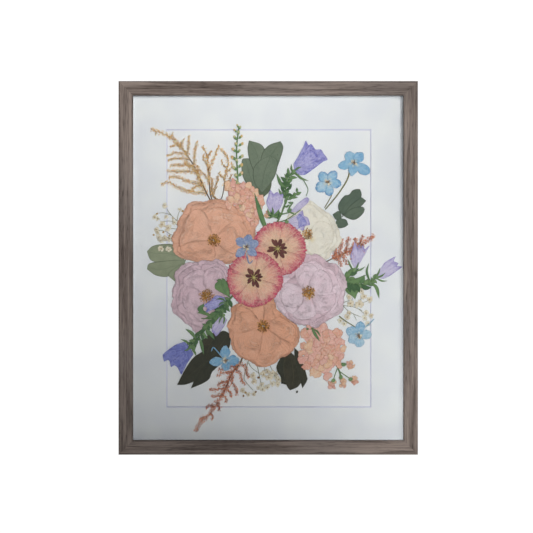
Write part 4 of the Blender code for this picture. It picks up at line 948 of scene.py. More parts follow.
@dataclass
class Press:
    """Lays the parts of one plant after another, each coming to rest on what is already there."""

    bed: HeightField
    sheet: Sheet | None = None                                   # the mesh that parts go into
    rng: random.Random = field(default_factory=random.Random)    # where their irregularities come from
    clearance: float = 0.05                                      # under each part, in mm
    highest: float = 0.0
    waiting: list[tuple[np.ndarray, np.ndarray, np.ndarray]] | None = None

    def start(self, name: str, finishes: Sequence[Finish], seed: int) -> None:
        """Start a piece.

        Args:
            name: the piece's name.
            finishes: what its parts are covered with.
            seed: picks its irregularities.
        """
        self.sheet, self.rng = Sheet(name, finishes), random.Random(seed)

    @contextmanager
    def together(self) -> Iterator[None]:
        """What is laid meanwhile rests on the bed as it is now, and the bed rises only afterwards.

        Yields:
            Nothing, while the bed is held as it is.
        """
        self.waiting = []
        yield
        held, self.waiting = self.waiting, None
        for x, y, level in held:
            self.bed.press(x, y, level)

    def raise_bed(self, x: np.ndarray, y: np.ndarray, level: np.ndarray) -> None:
        """Raise the bed to the upper face of new material, or note it for later.

        Args:
            x: places to the right, in mm.
            y: places up, in mm.
            level: of the upper face, in mm.
        """
        self.highest = max(self.highest, float(level.max()))
        if self.waiting is None:
            self.bed.press(x, y, level)
        else:
            self.waiting.append((x, y, level))

    def rest(self, x: np.ndarray, y: np.ndarray, relief: np.ndarray, thickness: float,
             stiffness: int) -> np.ndarray:
        """Heights at which a part lies, with the bed raised to its upper face.

        Args:
            x: places to the right, in mm.
            y: places up, in mm.
            relief: the part's own ups and downs above its lowest face, in mm.
            thickness: of the part, in mm.
            stiffness: how many cells of the bed it bridges.

        Returns:
            Heights above the mat of the part's upper face.
        """
        touching, even = self.bed.support(x, y, stiffness)
        top = np.maximum(touching, even + relief - 0.6 * relief.mean()) + self.clearance + thickness
        self.raise_bed(x, y, top)
        return top

    def patch(self, plan: np.ndarray, relief: np.ndarray, rim: np.ndarray, part: "Blade | Fan",
              seam: bool = False) -> None:
        """Lay a grid patch.

        Args:
            plan: array of rows, columns and (right, up) in mm.
            relief: array of rows and columns in mm.
            rim: distance to the edge in mm, in rows and columns.
            part: gives the finish, the thickness and the stiffness.
            seam: whether the first and last column meet.
        """
        x, y = plan[..., 0], plan[..., 1]
        top = self.rest(x, y, np.maximum(relief, 0.0), part.thickness, part.stiffness)
        self.sheet.grid(np.dstack([x, y, top]), self.rng.random(), rim, part.finish, part.thickness, seam)

    def lump(self, spot: Point, size: tuple[float, float, float], finish: int = 0,
             turn: float | None = None) -> None:
        """Lay a small lump.

        Args:
            spot: where its middle lies, in mm.
            size: half sizes, in mm.
            finish: number of the finish.
            turn: about the line of sight, in radians. Without it the lump is one of a crowd: turned at
                random, with fewer faces, and sunk among its neighbours.
        """
        crowded = turn is None
        x, y = np.array([spot[0]]), np.array([spot[1]])
        gap = self.rng.uniform(0.0, 0.5) if crowded else 0.04
        middle = float(self.bed.support(x, y, 0)[0][0]) + gap + size[2]
        self.raise_bed(x, y, np.array([middle + size[2] * (0.5 if crowded else 0.9)]))
        if crowded:
            turn = self.rng.uniform(0, 3.2)
        self.sheet.blob((*spot, middle), size, turn, self.rng.random(), finish, 1 if crowded else 2)


def points(text: str) -> list[Point]:
    """Places in the picture, each written as its mm to the right and its mm up: "-67,79 -82,95"."""
    return [tuple(float(number) for number in word.split(",")) for word in text.split()]


def around(middle: Point, angle: float, reach: float) -> Point:
    """The place at some distance from a middle, in a direction in radians."""
    return middle[0] + math.cos(angle) * reach, middle[1] + math.sin(angle) * reach


def beside(way: np.ndarray) -> np.ndarray:
    """Unit vectors to the left of a line at each of its points."""
    along = np.gradient(way, axis=0)
    along /= np.maximum(np.hypot(*along.T), 1e-9)[:, None]
    return np.column_stack([-along[:, 1], along[:, 0]])


@dataclass
class Blade:
    """A leaf, tepal or petal between two edges that run from its foot to its tip."""

    left: Sequence[Point]
    right: Sequence[Point]
    finish: int = 0
    cup: float = 0.35                  # how far the middle stands above the edges, in mm
    wrinkle: float = 0.12              # in mm
    stiffness: int = 3
    thickness: float = 0.10
    spacing: float = 0.9               # mm between neighbouring points

    def lay(self, press: Press) -> None:
        """Press it.

        Args:
            press: where it is laid.
        """
        long = max(length_of(smooth(self.left, 20)), length_of(smooth(self.right, 20)))
        rows = max(4, round(long / self.spacing) + 1)
        one, other = smooth(self.left, rows), smooth(self.right, rows)
        wide = np.hypot(*(other - one).T)
        columns = max(4, round(wide.max() / self.spacing) + 1)
        u = np.linspace(0.0, 1.0, columns)[None, :]
        v = np.linspace(0.0, 1.0, rows)[:, None]
        plan = one[:, None, :] * (1 - u[..., None]) + other[:, None, :] * u[..., None]
        x, y = plan[..., 0], plan[..., 1]
        rim = np.minimum(np.minimum(u, 1 - u) * wide[:, None], (1 - v) * long)
        shape = np.sin(np.pi * u) * np.sin(np.pi * np.clip(v, 0.02, 1.0)) ** 0.5
        relief = self.cup * shape + self.wrinkle * (1 + ripple(x, y, 0.22, press.rng.random() * 90))
        relief = relief + self.wrinkle * 0.5 * ripple(x, y, 0.7, press.rng.random() * 90)
        press.patch(plan, relief * np.clip(0.3 + rim / 2.5, 0.0, 1.0), rim, self)


@dataclass
class Fan:
    """A petal that spreads from its foot to an outer edge."""

    foot: Point
    arc: Sequence[Point]
    hollow: float = 0.0                # share of the way at which it begins
    cup: float = 0.25
    wrinkle: float = 0.12
    pleats: float = 0.22
    pleat_count: float = 7.0
    crinkles: float = 0.0              # height of the sharp wrinkles, in mm
    crinkle_scale: float = 0.14        # of them to a mm
    frill: float = 0.0                 # waviness of the outer edge, in mm
    curl: float = 0.0                  # how far the outer edge turns up, in mm
    finish: int = 0
    stiffness: int = 4
    thickness: float = 0.10
    spacing: float = 1.06              # mm between neighbouring points
    bend: float = 1.0                  # 1 for a round edge, less for a cornered one
    round_it: bool = False             # whether the arc runs all the way round the foot
    seam: float = 0.0                  # how far from the rim its sides count at the foot, in mm

    def lay(self, press: Press) -> None:
        """Press it.

        Args:
            press: where it is laid.
        """
        rough = smooth(self.arc, 40, self.round_it, self.bend)
        columns = max(6, round(length_of(rough) / self.spacing) + 1)
        edge = smooth(self.arc, columns, self.round_it, self.bend)
        if self.round_it:
            edge = np.vstack([edge, edge[:1]])
        foot = np.asarray(self.foot, dtype=float)
        reach = np.hypot(*(edge - foot).T)
        rows = max(5, round(reach.max() * (1 - self.hollow) / self.spacing) + 1)
        u = np.linspace(0.0, 1.0, len(edge))[None, :]
        v = np.linspace(self.hollow, 1.0, rows)[:, None]
        seed = press.rng.random() * 90
        if self.frill > 0.0:
            wave = ripple(*edge.T, 0.45, seed) + 0.6 * ripple(*edge.T, 1.1, seed)
            if self.round_it:
                wave[-1] = wave[0]
            edge = edge + (edge - foot) / reach[:, None] * (wave * self.frill)[:, None]
        plan = foot + (edge - foot)[None, :, :] * v[..., None]
        relief = self._relief(plan, u, v, seed, press.rng.random() * ANY_TURN)
        sides = np.full(u.shape, 0.5) if self.round_it else np.minimum(u, 1 - u)
        inward, sideways = (1 - v) * reach[None, :], sides * length_of(edge) * v
        relief = relief * np.clip(0.25 + np.minimum(inward, sideways) / 3.0, 0.0, 1.0)
        if self.round_it:
            relief[:, -1] = relief[:, 0]
        rim = np.minimum(inward, sideways + self.seam * (1 - v))
        press.patch(plan, relief, rim, self, self.round_it)

    def _relief(self, plan: np.ndarray, u: np.ndarray, v: np.ndarray, seed: float,
                phase: float) -> np.ndarray:
        """Its ups and downs, in mm.

        Args:
            plan: array of rows, columns and (right, up) in mm.
            u: share of the way across, a row.
            v: share of the way out, a column.
            seed: picks the wrinkles.
            phase: of the pleats, in radians.

        Returns:
            Array of rows and columns.
        """
        x, y = plan[..., 0], plan[..., 1]
        relief = self.cup * np.sin(np.pi * v) + self.wrinkle * (1 + ripple(x, y, 0.2, seed))
        relief = relief + self.wrinkle * 0.6 * ripple(x, y, 0.6, seed + 7)
        sway = 0.0 if self.round_it else 1.6 * ripple(x, y, 0.08, phase)
        ridges = (1 + np.sin(2 * np.pi * self.pleat_count * u + phase + sway)) / 2
        relief = relief + self.pleats * ridges**1.5 * np.clip(v * 1.6 - 0.2, 0.0, 1.0)
        relief = relief + self.curl * np.clip((v - 0.8) / 0.2, 0.0, 1.0) ** 2
        if self.crinkles > 0.0:
            relief = relief + self.crinkles * crinkle(x, y, self.crinkle_scale, seed)
        return relief


@dataclass
class Stalk:
    """A flattened stem along a line, tapering from its foot to its tip."""

    line: Sequence[Point]
    width: float = 1.4
    tip_width: float = 0.7
    finish: int = 0
    flatness: float = 0.45
    stiffness: int = 5
    sides: int = 7

    def lay(self, press: Press) -> None:
        """Press it.

        Args:
            press: where it is laid.
        """
        rows = max(5, round(length_of(smooth(self.line, 20)) / 1.1) + 1)
        way = smooth(self.line, rows)
        side = beside(way)
        v = np.linspace(0.0, 1.0, rows)
        half = 0.5 * (self.width + (self.tip_width - self.width) * v)
        half = half * (1 + 0.1 * ripple(way[:, 0], way[:, 1], 0.35, press.rng.random() * 90))
        half[0] *= 0.4
        half[-1] *= 0.3
        thick = half * self.flatness
        top = press.rest(way[:, 0], way[:, 1], np.zeros(rows), 0.0, self.stiffness) + 2 * thick
        spots = way[:, None, :] + side[:, None, :] * (half[:, None] * np.array([-0.8, 0.0, 0.8]))[..., None]
        press.raise_bed(spots[..., 0], spots[..., 1], np.repeat(top[:, None], 3, 1))
        angle = np.linspace(0.0, 2 * np.pi, self.sides + 1)
        plan = way[:, None, :] + side[:, None, :] * (half[:, None] * np.cos(angle))[..., None]
        height = (top - thick)[:, None] + thick[:, None] * np.sin(angle)
        places = np.dstack([plan[..., 0], plan[..., 1], height])
        places[:, -1] = places[:, 0]
        places[0] = places[0].mean(axis=0)
        places[-1] = places[-1].mean(axis=0)
        rim = np.full(places.shape[:2], FAR_FROM_EDGE)
        press.sheet.grid(places, press.rng.random(), rim, self.finish, seam=True)


@dataclass
class Tuft:
    """A bunch of stamens: threads that spread from a middle, with an anther on each."""

    middle: Point
    radius: float = 8.0
    threads: int = 46
    anther: float = 0.95               # size of an anther, in mm

    def lay(self, press: Press) -> None:
        """Press it.

        Args:
            press: where it is laid.
        """
        with press.together():
            for number in range(self.threads):
                self._stamen(press, number)

    def _stamen(self, press: Press, number: int) -> None:
        """Press one stamen.

        Args:
            press: where it is laid.
            number: its place in the bunch, counted from the middle.
        """
        rng = press.rng
        angle = number * GOLDEN_ANGLE + rng.uniform(-0.3, 0.3)
        reach = self.radius * math.sqrt((number + 0.5) / self.threads) * rng.uniform(0.8, 1.08)
        end = around(self.middle, angle, reach)
        if reach > self.radius * 0.45:
            start = around(self.middle, angle + 0.5, reach * 0.25)
            half = tuple((one + other) / 2 + rng.uniform(-0.5, 0.5) for one, other in zip(start, end))
            Stalk([start, half, end], 0.32, 0.22, 0, 0.8, 0, 4).lay(press)
        size = self.anther * rng.uniform(0.7, 1.25)
        press.lump(end, (size, size * rng.uniform(0.6, 0.9), size * 0.6), rng.choice((1, 1, 2)))


# ---------------------------------------------------------------- finishes

LIGHT = 0.86            # share of full white that the studio light gives a white surface
BRIGHTEST = 0.9         # what no surface's colour exceeds


def seen(red: int, green: int, blue: int) -> Colour:
    """Colour of a surface that shows as these 8-bit values in the studio's light."""
    shares = (((value / 255 + 0.055) / 1.055) ** 2.4 / LIGHT for value in (red, green, blue))
    return tuple(min(share, BRIGHTEST) for share in shares)


WOOD = StainedWood("stained wood", "weathered_wood")
GLASS = PictureGlass("picture glass", "clear_pane")
MAT = Board("mat board", "mat_board", seen(224, 227, 231), seen(216, 219, 224))
# the window's bevel: the core's own lilac tint, made darker than the face as painted shade on the bevel
MAT_CORE = Board("mat core", "mat_board", seen(206, 206, 228), seen(196, 196, 220), 2500.0, 0.05)
CARD = Board("mounting card", "backing_card", seen(226, 229, 232), seen(219, 222, 226), 1200.0, 0.05)
SPACER = Board("spacer strip", "spacer_strip", seen(214, 217, 222), seen(203, 206, 212), 900.0, 0.05)
HARDBOARD = Board("fibreboard", "fibreboard", (0.24, 0.15, 0.085), (0.16, 0.095, 0.055), 700.0, 0.12, 0.75)
STEEL = PlatedSteel("plated steel", "steel")


# ---------------------------------------------------------------- the frame and what it holds

def dress(node: str, finish: Finish, bevel: float = 0.0) -> None:
    """Cover a CAD node with a finish, and round its edges.

    Args:
        node: the node's name.
        finish: its finish.
        bevel: width of the rounded edge, in mm; 0 leaves it sharp.
    """
    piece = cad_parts[node]
    piece.data.materials.clear()
    piece.data.materials.append(finish.material())
    if bevel > 0.0:
        weld = piece.modifiers.new("weld", "WELD")
        weld.merge_threshold = 0.00001
        rounded = piece.modifiers.new("rounded", "BEVEL")
        rounded.width = bevel * MM
        rounded.segments = 2
        rounded.limit_method = "ANGLE"


def cut(mesh: bmesh.types.BMesh, through: Place, normal: Place, away: bool = False) -> None:
    """Cut a mesh along a plane; `away` drops what lies on the normal's side."""
    bmesh.ops.bisect_plane(mesh, geom=mesh.verts[:] + mesh.edges[:] + mesh.faces[:], plane_co=through,
                           plane_no=normal, clear_outer=away)


class Rail(Enum):
    """The four rails: the turn about the line of sight that carries the top rail onto each."""

    TOP = 0
    LEFT = 90
    BOTTOM = 180
    RIGHT = 270


@dataclass
class Moulding:
    """The wooden frame: four mitred rails with a rebate behind a lip."""

    width: float = 431.0
    height: float = 538.0
    face: float = 20.3
    rebate: float = 6.2
    depth: float = 25.0
    lip: float = 5.0
    easing: float = 0.8               # rounding of the long edges

    def build(self) -> None:
        """Make the four rails."""
        for rail in Rail:
            self._rail(rail)

    def _rail(self, rail: Rail) -> None:
        """Make one rail from its section.

        Args:
            rail: which one.
        """
        upright = rail in (Rail.LEFT, Rail.RIGHT)
        long, far = (self.height, self.width) if upright else (self.width, self.height)
        corners = [(0, 0), (0, -self.depth), (self.face, -self.depth), (self.face, self.lip - self.depth),
                   (self.face - self.rebate, self.lip - self.depth), (self.face - self.rebate, 0)]
        mesh = bmesh.new()
        uv, rim = mesh.loops.layers.uv.new("UVMap"), mesh.verts.layers.float.new("rim")
        mesh.verts.layers.float.new("tone")
        section = mesh.faces.new([mesh.verts.new((-long / 2, y, far / 2 - inward)) for inward, y in corners])
        run = bmesh.ops.extrude_face_region(mesh, geom=[section])["geom"]
        bmesh.ops.translate(mesh, verts=[v for v in run if isinstance(v, bmesh.types.BMVert)],
                            vec=(long, 0, 0))
        for way in (-1, 1):
            cut(mesh, (way * long / 2, 0, far / 2), (way, 0, -1), True)
            bmesh.ops.holes_fill(mesh, edges=[edge for edge in mesh.edges if edge.is_boundary])
        bmesh.ops.recalc_face_normals(mesh, faces=mesh.faces)
        lengthwise = [edge for edge in mesh.edges if abs((edge.verts[0].co - edge.verts[1].co).x) > 100]
        bmesh.ops.bevel(mesh, geom=lengthwise, offset=self.easing, segments=3, profile=0.5, affect="EDGES",
                        material=-1)
        for inward in (1.6, 3.0, 5.0, self.face / 2, self.face - 5.0, self.face - 3.0, self.face - 1.6):
            cut(mesh, (0, 0, far / 2 - inward), (0, 0, 1))
        for behind in (1.6, 3.0, 6.0, 14.0, 22.0):
            cut(mesh, (0, behind - self.depth, 0), (0, 1, 0))
        for vert in mesh.verts:
            inward = far / 2 - vert.co.z
            vert[rim] = min(math.hypot(inward - a, vert.co.y - b) for a, b in corners)
        offset = rail.value * 0.37 * MM
        for item in mesh.faces:
            item.smooth = True
            for loop in item.loops:
                place = loop.vert.co
                loop[uv].uv = (place.x * MM + offset * 4, (far / 2 - place.z + place.y) * MM + offset)
        turn = Matrix.Rotation(-math.radians(rail.value), 4, "Y")
        into = Matrix.Translation((0, 0, CENTRE_Z)) @ turn @ Matrix.Diagonal((MM, MM, MM, 1))
        bmesh.ops.transform(mesh, matrix=into, verts=mesh.verts)
        data = bpy.data.meshes.new(f"rail_{rail.name.lower()}")
        mesh.to_mesh(data)
        mesh.free()
        data.set_sharp_from_angle(angle=math.radians(35))
        place_piece(data.name, data, [WOOD], f"frame_{rail.name.lower()}")


@dataclass
class Mat:
    """The mat board with its bevelled window."""

    width: float = 401.8
    height: float = 508.8
    window_width: float = 298.9
    window_height: float = 405.9
    window_right: float = 1.0
    window_up: float = -0.8
    thickness: float = 1.4
    bevel: float = 1.26               # how far the window's edge slopes inwards

    @property
    def low(self) -> Point:
        """Lower left corner of the window."""
        return self.window_right - self.window_width / 2, self.window_up - self.window_height / 2

    @property
    def high(self) -> Point:
        """Upper right corner of the window."""
        return self.window_right + self.window_width / 2, self.window_up + self.window_height / 2

    def build(self) -> None:
        """Make the board, its window and the window's bevel."""
        mesh = bmesh.new()
        mesh.loops.layers.uv.new("UVMap")
        bmesh.ops.create_grid(mesh, x_segments=3, y_segments=3, size=0.5, calc_uvs=True)
        across = (-self.width / 2, self.low[0], self.high[0], self.width / 2)
        up = (-self.height / 2, self.low[1], self.high[1], self.height / 2)
        for vert in mesh.verts:
            column, row = round((vert.co.x + 0.5) * 3), round((vert.co.y + 0.5) * 3)
            vert.co = (across[column] * MM, -MAT_FRONT * MM, up[row] * MM + CENTRE_Z)
        centre = Vector((0, -MAT_FRONT * MM, CENTRE_Z))
        middle = min(mesh.faces, key=lambda item: (item.calc_center_median() - centre).length)
        bmesh.ops.delete(mesh, geom=[middle], context="FACES")
        run = bmesh.ops.extrude_face_region(mesh, geom=mesh.faces[:])["geom"]
        back = [item for item in run if isinstance(item, bmesh.types.BMVert)]
        bmesh.ops.translate(mesh, verts=back, vec=(0, self.thickness * MM, 0))
        for vert in back:
            right, high = vert.co.x / MM, (vert.co.z - CENTRE_Z) / MM
            if abs(right) < self.width / 2 - 1 and abs(high) < self.height / 2 - 1:
                vert.co.x -= math.copysign(self.bevel * MM, right - self.window_right)
                vert.co.z -= math.copysign(self.bevel * MM, high - self.window_up)
        bmesh.ops.recalc_face_normals(mesh, faces=mesh.faces)
        # the sloping bevel faces take the core colour with its painted shade
        for item in mesh.faces:
            item.material_index = 1 if 0.3 < abs(item.normal.y) < 0.95 else 0
        data = bpy.data.meshes.new("mat")
        mesh.to_mesh(data)
        mesh.free()
        place_piece("mat", data, [MAT, MAT_CORE], "mat_board")


@dataclass
class Packing:
    """What the frame holds besides the mat: glass, spacers, card, back board and the fittings behind."""

    spacers: tuple[str, ...] = ("spacer_top", "spacer_bottom", "spacer_right", "spacer_left")
    tabs: tuple[str, ...] = ("tab_top", "tab_bottom", "tab_right_1", "tab_left_1", "tab_right_2",
                             "tab_left_2")

    def build(self) -> None:
        """Dress the CAD nodes."""
        dress("glass_pane", GLASS)
        dress("backing_card", CARD)
        dress("back_board", HARDBOARD, 0.3)
        dress("hanger", STEEL, 0.15)
        for node in self.spacers:
            dress(node, SPACER, 0.2)
        for node in self.tabs:
            dress(node, STEEL, 0.15)
        LOG.info("packing: %d CAD nodes dressed", len(self.spacers) + len(self.tabs) + 4)


@dataclass
class Studio:
    """Camera, lights, white surroundings and a pale floor well below the frame."""

    distance: float = 1.0                  # from the frame's face to the camera, in metres
    picture: float = 0.76752               # width of the picture at the frame's face, in metres
    right: float = -0.00245
    up: float = 0.0020
    floor_drop: float = 1.30

    def build(self) -> None:
        """Set everything up."""
        self._camera()
        self._world()
        self._lamp("key", (0.289, -1.348, 0.242), 0.6, 2.25, (1.0, 0.99, 0.975), (-0.046, 0.0, 0.357), 57.8)
        self._lamp("kicker", (0.188, -0.95, -0.037), 0.6, 1.62, (1.0, 0.99, 0.975), (0.54, 0.0, -0.40), 47.0)
        self._lamp("rear", (-1.0, 1.9, 1.3), 1.4, 110.0, (1.0, 0.995, 0.985))
        self._lamp("fill", (0.6, -1.9, -0.2), 1.4, 3.0, (0.97, 0.985, 1.0))
        self._floor()

    def _camera(self) -> None:
        """Place the camera at the photo's distance and angle."""
        data = bpy.data.cameras.new("camera")
        data.sensor_width = 36.0
        data.lens = 36.0 * self.distance / self.picture
        data.clip_start, data.clip_end = 0.01, 20.0
        camera = bpy.data.objects.new("camera", data)
        camera.location = (self.right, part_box("frame_top")[0].y - self.distance, CENTRE_Z + self.up)
        camera.rotation_euler = (math.pi / 2, 0.0, 0.0)
        bpy.context.scene.collection.objects.link(camera)
        bpy.context.scene.camera = camera

    def _world(self) -> None:
        """White surroundings that light the frame only faintly."""
        world = bpy.data.worlds.new("surroundings")
        world.use_nodes = True
        sheet = NodeSheet(world.node_tree)
        shader = world.node_tree.nodes["Background"]
        shader.inputs["Color"].default_value = (1.0, 1.0, 1.0, 1.0)
        direct = sheet.add("LightPath").outputs["Is Camera Ray"]
        sheet.feed(shader.inputs["Strength"], sheet.fade(direct, 0.0, 1.0, 0.15, 1.05))
        bpy.context.scene.world = world
        bpy.context.scene.view_settings.view_transform = "Standard"

    def _lamp(self, name: str, offset: Place, size: float, power: float, colour: Colour,
              aim: Place = (0.0, 0.0, 0.0), spread: float = 180.0) -> None:
        """Add a square lamp that shows neither in the picture nor in the glass.

        Args:
            name: the lamp's name.
            offset: from the middle of the picture, in metres.
            size: of its side, in metres.
            power: in watts.
            colour: of its light.
            aim: where it points, from the middle of the picture, in metres.
            spread: of its light, in degrees.
        """
        data = bpy.data.lights.new(name, "AREA")
        data.size, data.energy, data.color, data.spread = size, power, colour, math.radians(spread)
        lamp = bpy.data.objects.new(name, data)
        lamp.location = Vector(offset) + Vector((0, 0, CENTRE_Z))
        lamp.rotation_euler = (Vector(aim) - Vector(offset)).to_track_quat("-Z", "Y").to_euler()
        lamp.visible_camera = lamp.visible_glossy = lamp.visible_transmission = False
        bpy.context.scene.collection.objects.link(lamp)

    def _floor(self) -> None:
        """Lay the floor."""
        mesh = bmesh.new()
        bmesh.ops.create_grid(mesh, x_segments=1, y_segments=1, size=1.5)
        bmesh.ops.translate(mesh, verts=mesh.verts, vec=(0, -0.65, -self.floor_drop))
        data = bpy.data.meshes.new("floor")
        mesh.to_mesh(data)
        mesh.free()
        data.materials.append(Board("floor", "", (0.8, 0.8, 0.8), (0.78, 0.78, 0.78), 200.0, 0.02).material())
        floor = bpy.data.objects.new("floor", data)
        bpy.context.scene.collection.objects.link(floor)


# ---------------------------------------------------------------- plant finishes

def tissue(name: str, body: Seen, flush: Seen, slot: str, **more: object) -> Tissue:
    """A plant finish, with its colours given as they are seen.

    Args:
        name: the material's name.
        body: its main colour, from which any other that isn't given follows.
        flush: its second colour.
        slot: name of its material slot.
        more: any of Tissue's other fields.

    Returns:
        The finish.
    """
    base = seen(*body)
    darker = tuple(0.55 * value for value in base)
    given = {key: seen(*value) if isinstance(value, tuple) else value for key, value in more.items()}
    # when not given, the painted crease shading is a darker shade of the body, like the rim and the veins
    colours = {"heart": base, "edge": base, "rim": darker, "vein": darker, "crease": darker}
    return Tissue(name, slot, base, seen(*flush), **{**colours, **given})


sage_leaf = partial(tissue, slot="grey_green_leaf", rim_width=1.3, rim_share=0.85, rib=0.45,
                    crease_share=0.15, spots=0.35, bump=0.3)
SAGE = sage_leaf("sage leaf", (96, 110, 92), (112, 124, 106), rim=(58, 68, 56), vein=(72, 84, 68))
SAGE_DEEP = sage_leaf("deep sage leaf", (82, 97, 84), (94, 108, 92), rim=(48, 58, 50), vein=(60, 72, 62))
SAGE_OLIVE = sage_leaf("olive sage leaf", (94, 106, 82), (84, 96, 76), rim=(56, 64, 48), vein=(68, 78, 58),
                       spots=0.4)
SAGE_PALE = sage_leaf("pale sage leaf", (142, 149, 123), (130, 139, 114), rim=(88, 98, 78), rim_width=1.2,
                      rim_share=0.8, vein=(98, 110, 86), spots=0.3)

dark_leaf = partial(tissue, slot="dark_leaf", rim_width=0.7, rim_share=0.6, rib=0.45, crease_share=0.2,
                    spots=0.3, roughness=0.6, bump=0.4)
DARK_LEAF = dark_leaf("dark leaf", (42, 46, 36), (54, 54, 42), rim=(84, 84, 64), vein=(74, 74, 56),
                      crease=(70, 70, 54))
BROWN_LEAF = dark_leaf("brown leaf", (62, 60, 46), (50, 50, 38), rim=(92, 86, 64), vein=(84, 78, 58),
                       crease=(78, 72, 54))

green_leaf = partial(tissue, slot="green_stem", rim_width=0.6, rib=0.4, crease_share=0.15, spots=0.2,
                     bump=0.3)
GREEN_LEAF = green_leaf("green leaf", (84, 118, 78), (114, 142, 94), rim=(50, 78, 50), vein=(140, 168, 120))
DEEP_GREEN = green_leaf("deep green leaf", (60, 92, 62), (82, 112, 74), rim=(38, 62, 42),
                        vein=(112, 144, 98))

stem_skin = partial(tissue, slot="green_stem", crease_share=0.2, vein_count=4.0)
STEM = stem_skin("green stem", (86, 120, 76), (106, 132, 86), vein_share=0.35, spots=0.2)
OLIVE_STEM = stem_skin("olive stem", (110, 114, 78), (126, 122, 84), vein_share=0.3, spots=0.3)

twig_skin = partial(tissue, vein_share=0.3, vein_count=4.0, spots=0.3)
BROWN_STEM = twig_skin("brown stem", (100, 72, 54), (84, 74, 44), "gold_plume")
RUST_STEM = twig_skin("rust stem", (110, 76, 56), (96, 82, 52), "rust_plume")

floret_skin = partial(tissue, spots=0.3, bump=0.2)
GOLD_FLORET = floret_skin("gold floret", (222, 178, 122), (232, 192, 138), "gold_plume")
GOLD_PALE = floret_skin("pale gold floret", (248, 220, 174), (236, 202, 150), "gold_plume", spots=0.2)
GOLD_DARK = floret_skin("dark gold floret", (178, 132, 80), (196, 150, 94), "gold_plume")
OLIVE_FLORET = floret_skin("olive floret", (170, 140, 80), (190, 158, 98), "gold_plume")
RUST_FLORET = floret_skin("rust floret", (204, 128, 98), (214, 140, 108), "rust_plume")
PALE_RUST = floret_skin("pale rust floret", (230, 176, 144), (220, 156, 124), "rust_plume", spots=0.2)
DARK_RUST = floret_skin("dark rust floret", (152, 86, 64), (172, 102, 76), "rust_plume")

CREAM = tissue("cream bloom", (234, 226, 210), (216, 204, 180), "cream_bloom", heart=(176, 150, 104),
               heart_reach=0.5, rim=(140, 116, 84), rim_width=0.5, rim_share=0.45, crease_share=0.2,
               crease=(166, 142, 104), spots=0.3)
BUD_EYE = tissue("bloom's eye", (110, 82, 52), (140, 106, 66), "cream_bloom")

blue_petal = partial(tissue, rim_width=0.7, vein_share=0.4, vein_count=9.0, crease_share=0.35,
                     heart_reach=0.35)
SKY = blue_petal("sky petal", (120, 170, 202), (162, 192, 208), "sky_petal", edge=(92, 142, 186),
                 edge_from=0.7, rim=(76, 120, 166), rim_width=0.6, vein=(82, 126, 170),
                 crease=(204, 216, 222), heart=(202, 206, 196), heart_reach=0.45)
SKY_DEEP = blue_petal("deeper sky petal", (94, 150, 192), (134, 176, 202), "sky_petal", rim=(62, 106, 158),
                      vein=(68, 114, 164), crease=(180, 204, 218), heart=(192, 200, 192), heart_reach=0.4)
SKY_GREY = blue_petal("grey-blue petal", (118, 164, 196), (160, 190, 206), "sky_petal", rim=(80, 118, 160),
                      vein=(84, 126, 168), vein_share=0.45, crease=(206, 218, 226), heart=(200, 204, 190))
SLATE = blue_petal("slate petal", (112, 132, 172), (146, 158, 184), "slate_petal", rim=(74, 88, 134),
                   vein=(78, 94, 146), vein_share=0.45, crease=(186, 192, 206), heart=(190, 188, 172))

bell_petal = partial(tissue, slot="violet_bell", rim_width=0.7, bump=0.6)
VIOLET = bell_petal("violet bell", (140, 141, 196), (160, 158, 202), edge=(118, 118, 186), edge_from=0.75,
                    rim=(84, 82, 152), rim_share=0.6, vein=(92, 88, 158), vein_share=0.75, vein_count=11.0,
                    crease_share=0.5, crease=(188, 186, 216), spots=0.3)
VIOLET_PALE = bell_petal("pale bell", (178, 170, 204), (194, 188, 210), rim=(110, 102, 160),
                         edge=(150, 142, 192), edge_from=0.75, vein=(126, 116, 176), vein_share=0.5,
                         vein_count=9.0, crease_share=0.35, crease=(216, 210, 224))
VIOLET_DARK = bell_petal("dark bell", (108, 116, 184), (132, 140, 200), rim=(66, 70, 138), rim_share=0.6,
                         vein=(72, 76, 148), vein_share=0.6, vein_count=12.0, crease_share=0.45,
                         crease=(160, 166, 212), spots=0.25, bump=0.7)

rose_tissue = partial(tissue, rim_width=0.9, rim_share=0.42, vein_share=0.08, vein_count=18.0, wrinkle=1.0,
                      heart_reach=0.2, bump=0.75)
WHITE_ROSE = rose_tissue("white petal", (229, 225, 213), (224, 218, 204), "white_petal", rim=(198, 184, 160),
                         rim_width=0.8, rim_share=0.45, vein=(218, 206, 178), vein_share=0.15,
                         vein_count=16.0, crease=(248, 244, 234), heart=(222, 210, 176), heart_reach=0.25,
                         bump=0.35)
PEACH = rose_tissue("peach petal", (229, 177, 152), (224, 168, 141), "peach_petal", rim=(182, 104, 78),
                    vein=(200, 136, 106), crease=(229, 198, 178), heart=(210, 152, 108), spots=0.15)
PEACH_DEEP = rose_tissue("deeper peach petal", (229, 171, 142), (224, 163, 132), "peach_petal",
                         rim=(172, 98, 74), vein=(190, 124, 92), crease=(229, 194, 172),
                         heart=(206, 142, 96), spots=0.2)
LILAC = rose_tissue("lilac petal", (211, 181, 191), (220, 193, 202), "lilac_petal", rim=(124, 92, 112),
                    rim_share=0.5, vein=(164, 134, 152), vein_share=0.12, crease=(229, 211, 221),
                    heart=(200, 172, 138), bump=0.7)
LILAC_PALE = rose_tissue("pale lilac petal", (225, 199, 209), (230, 208, 217), "lilac_petal",
                         rim=(146, 114, 126), rim_share=0.5, vein=(186, 162, 172), vein_share=0.1,
                         crease=(229, 218, 224), heart=(214, 188, 154), bump=0.7)

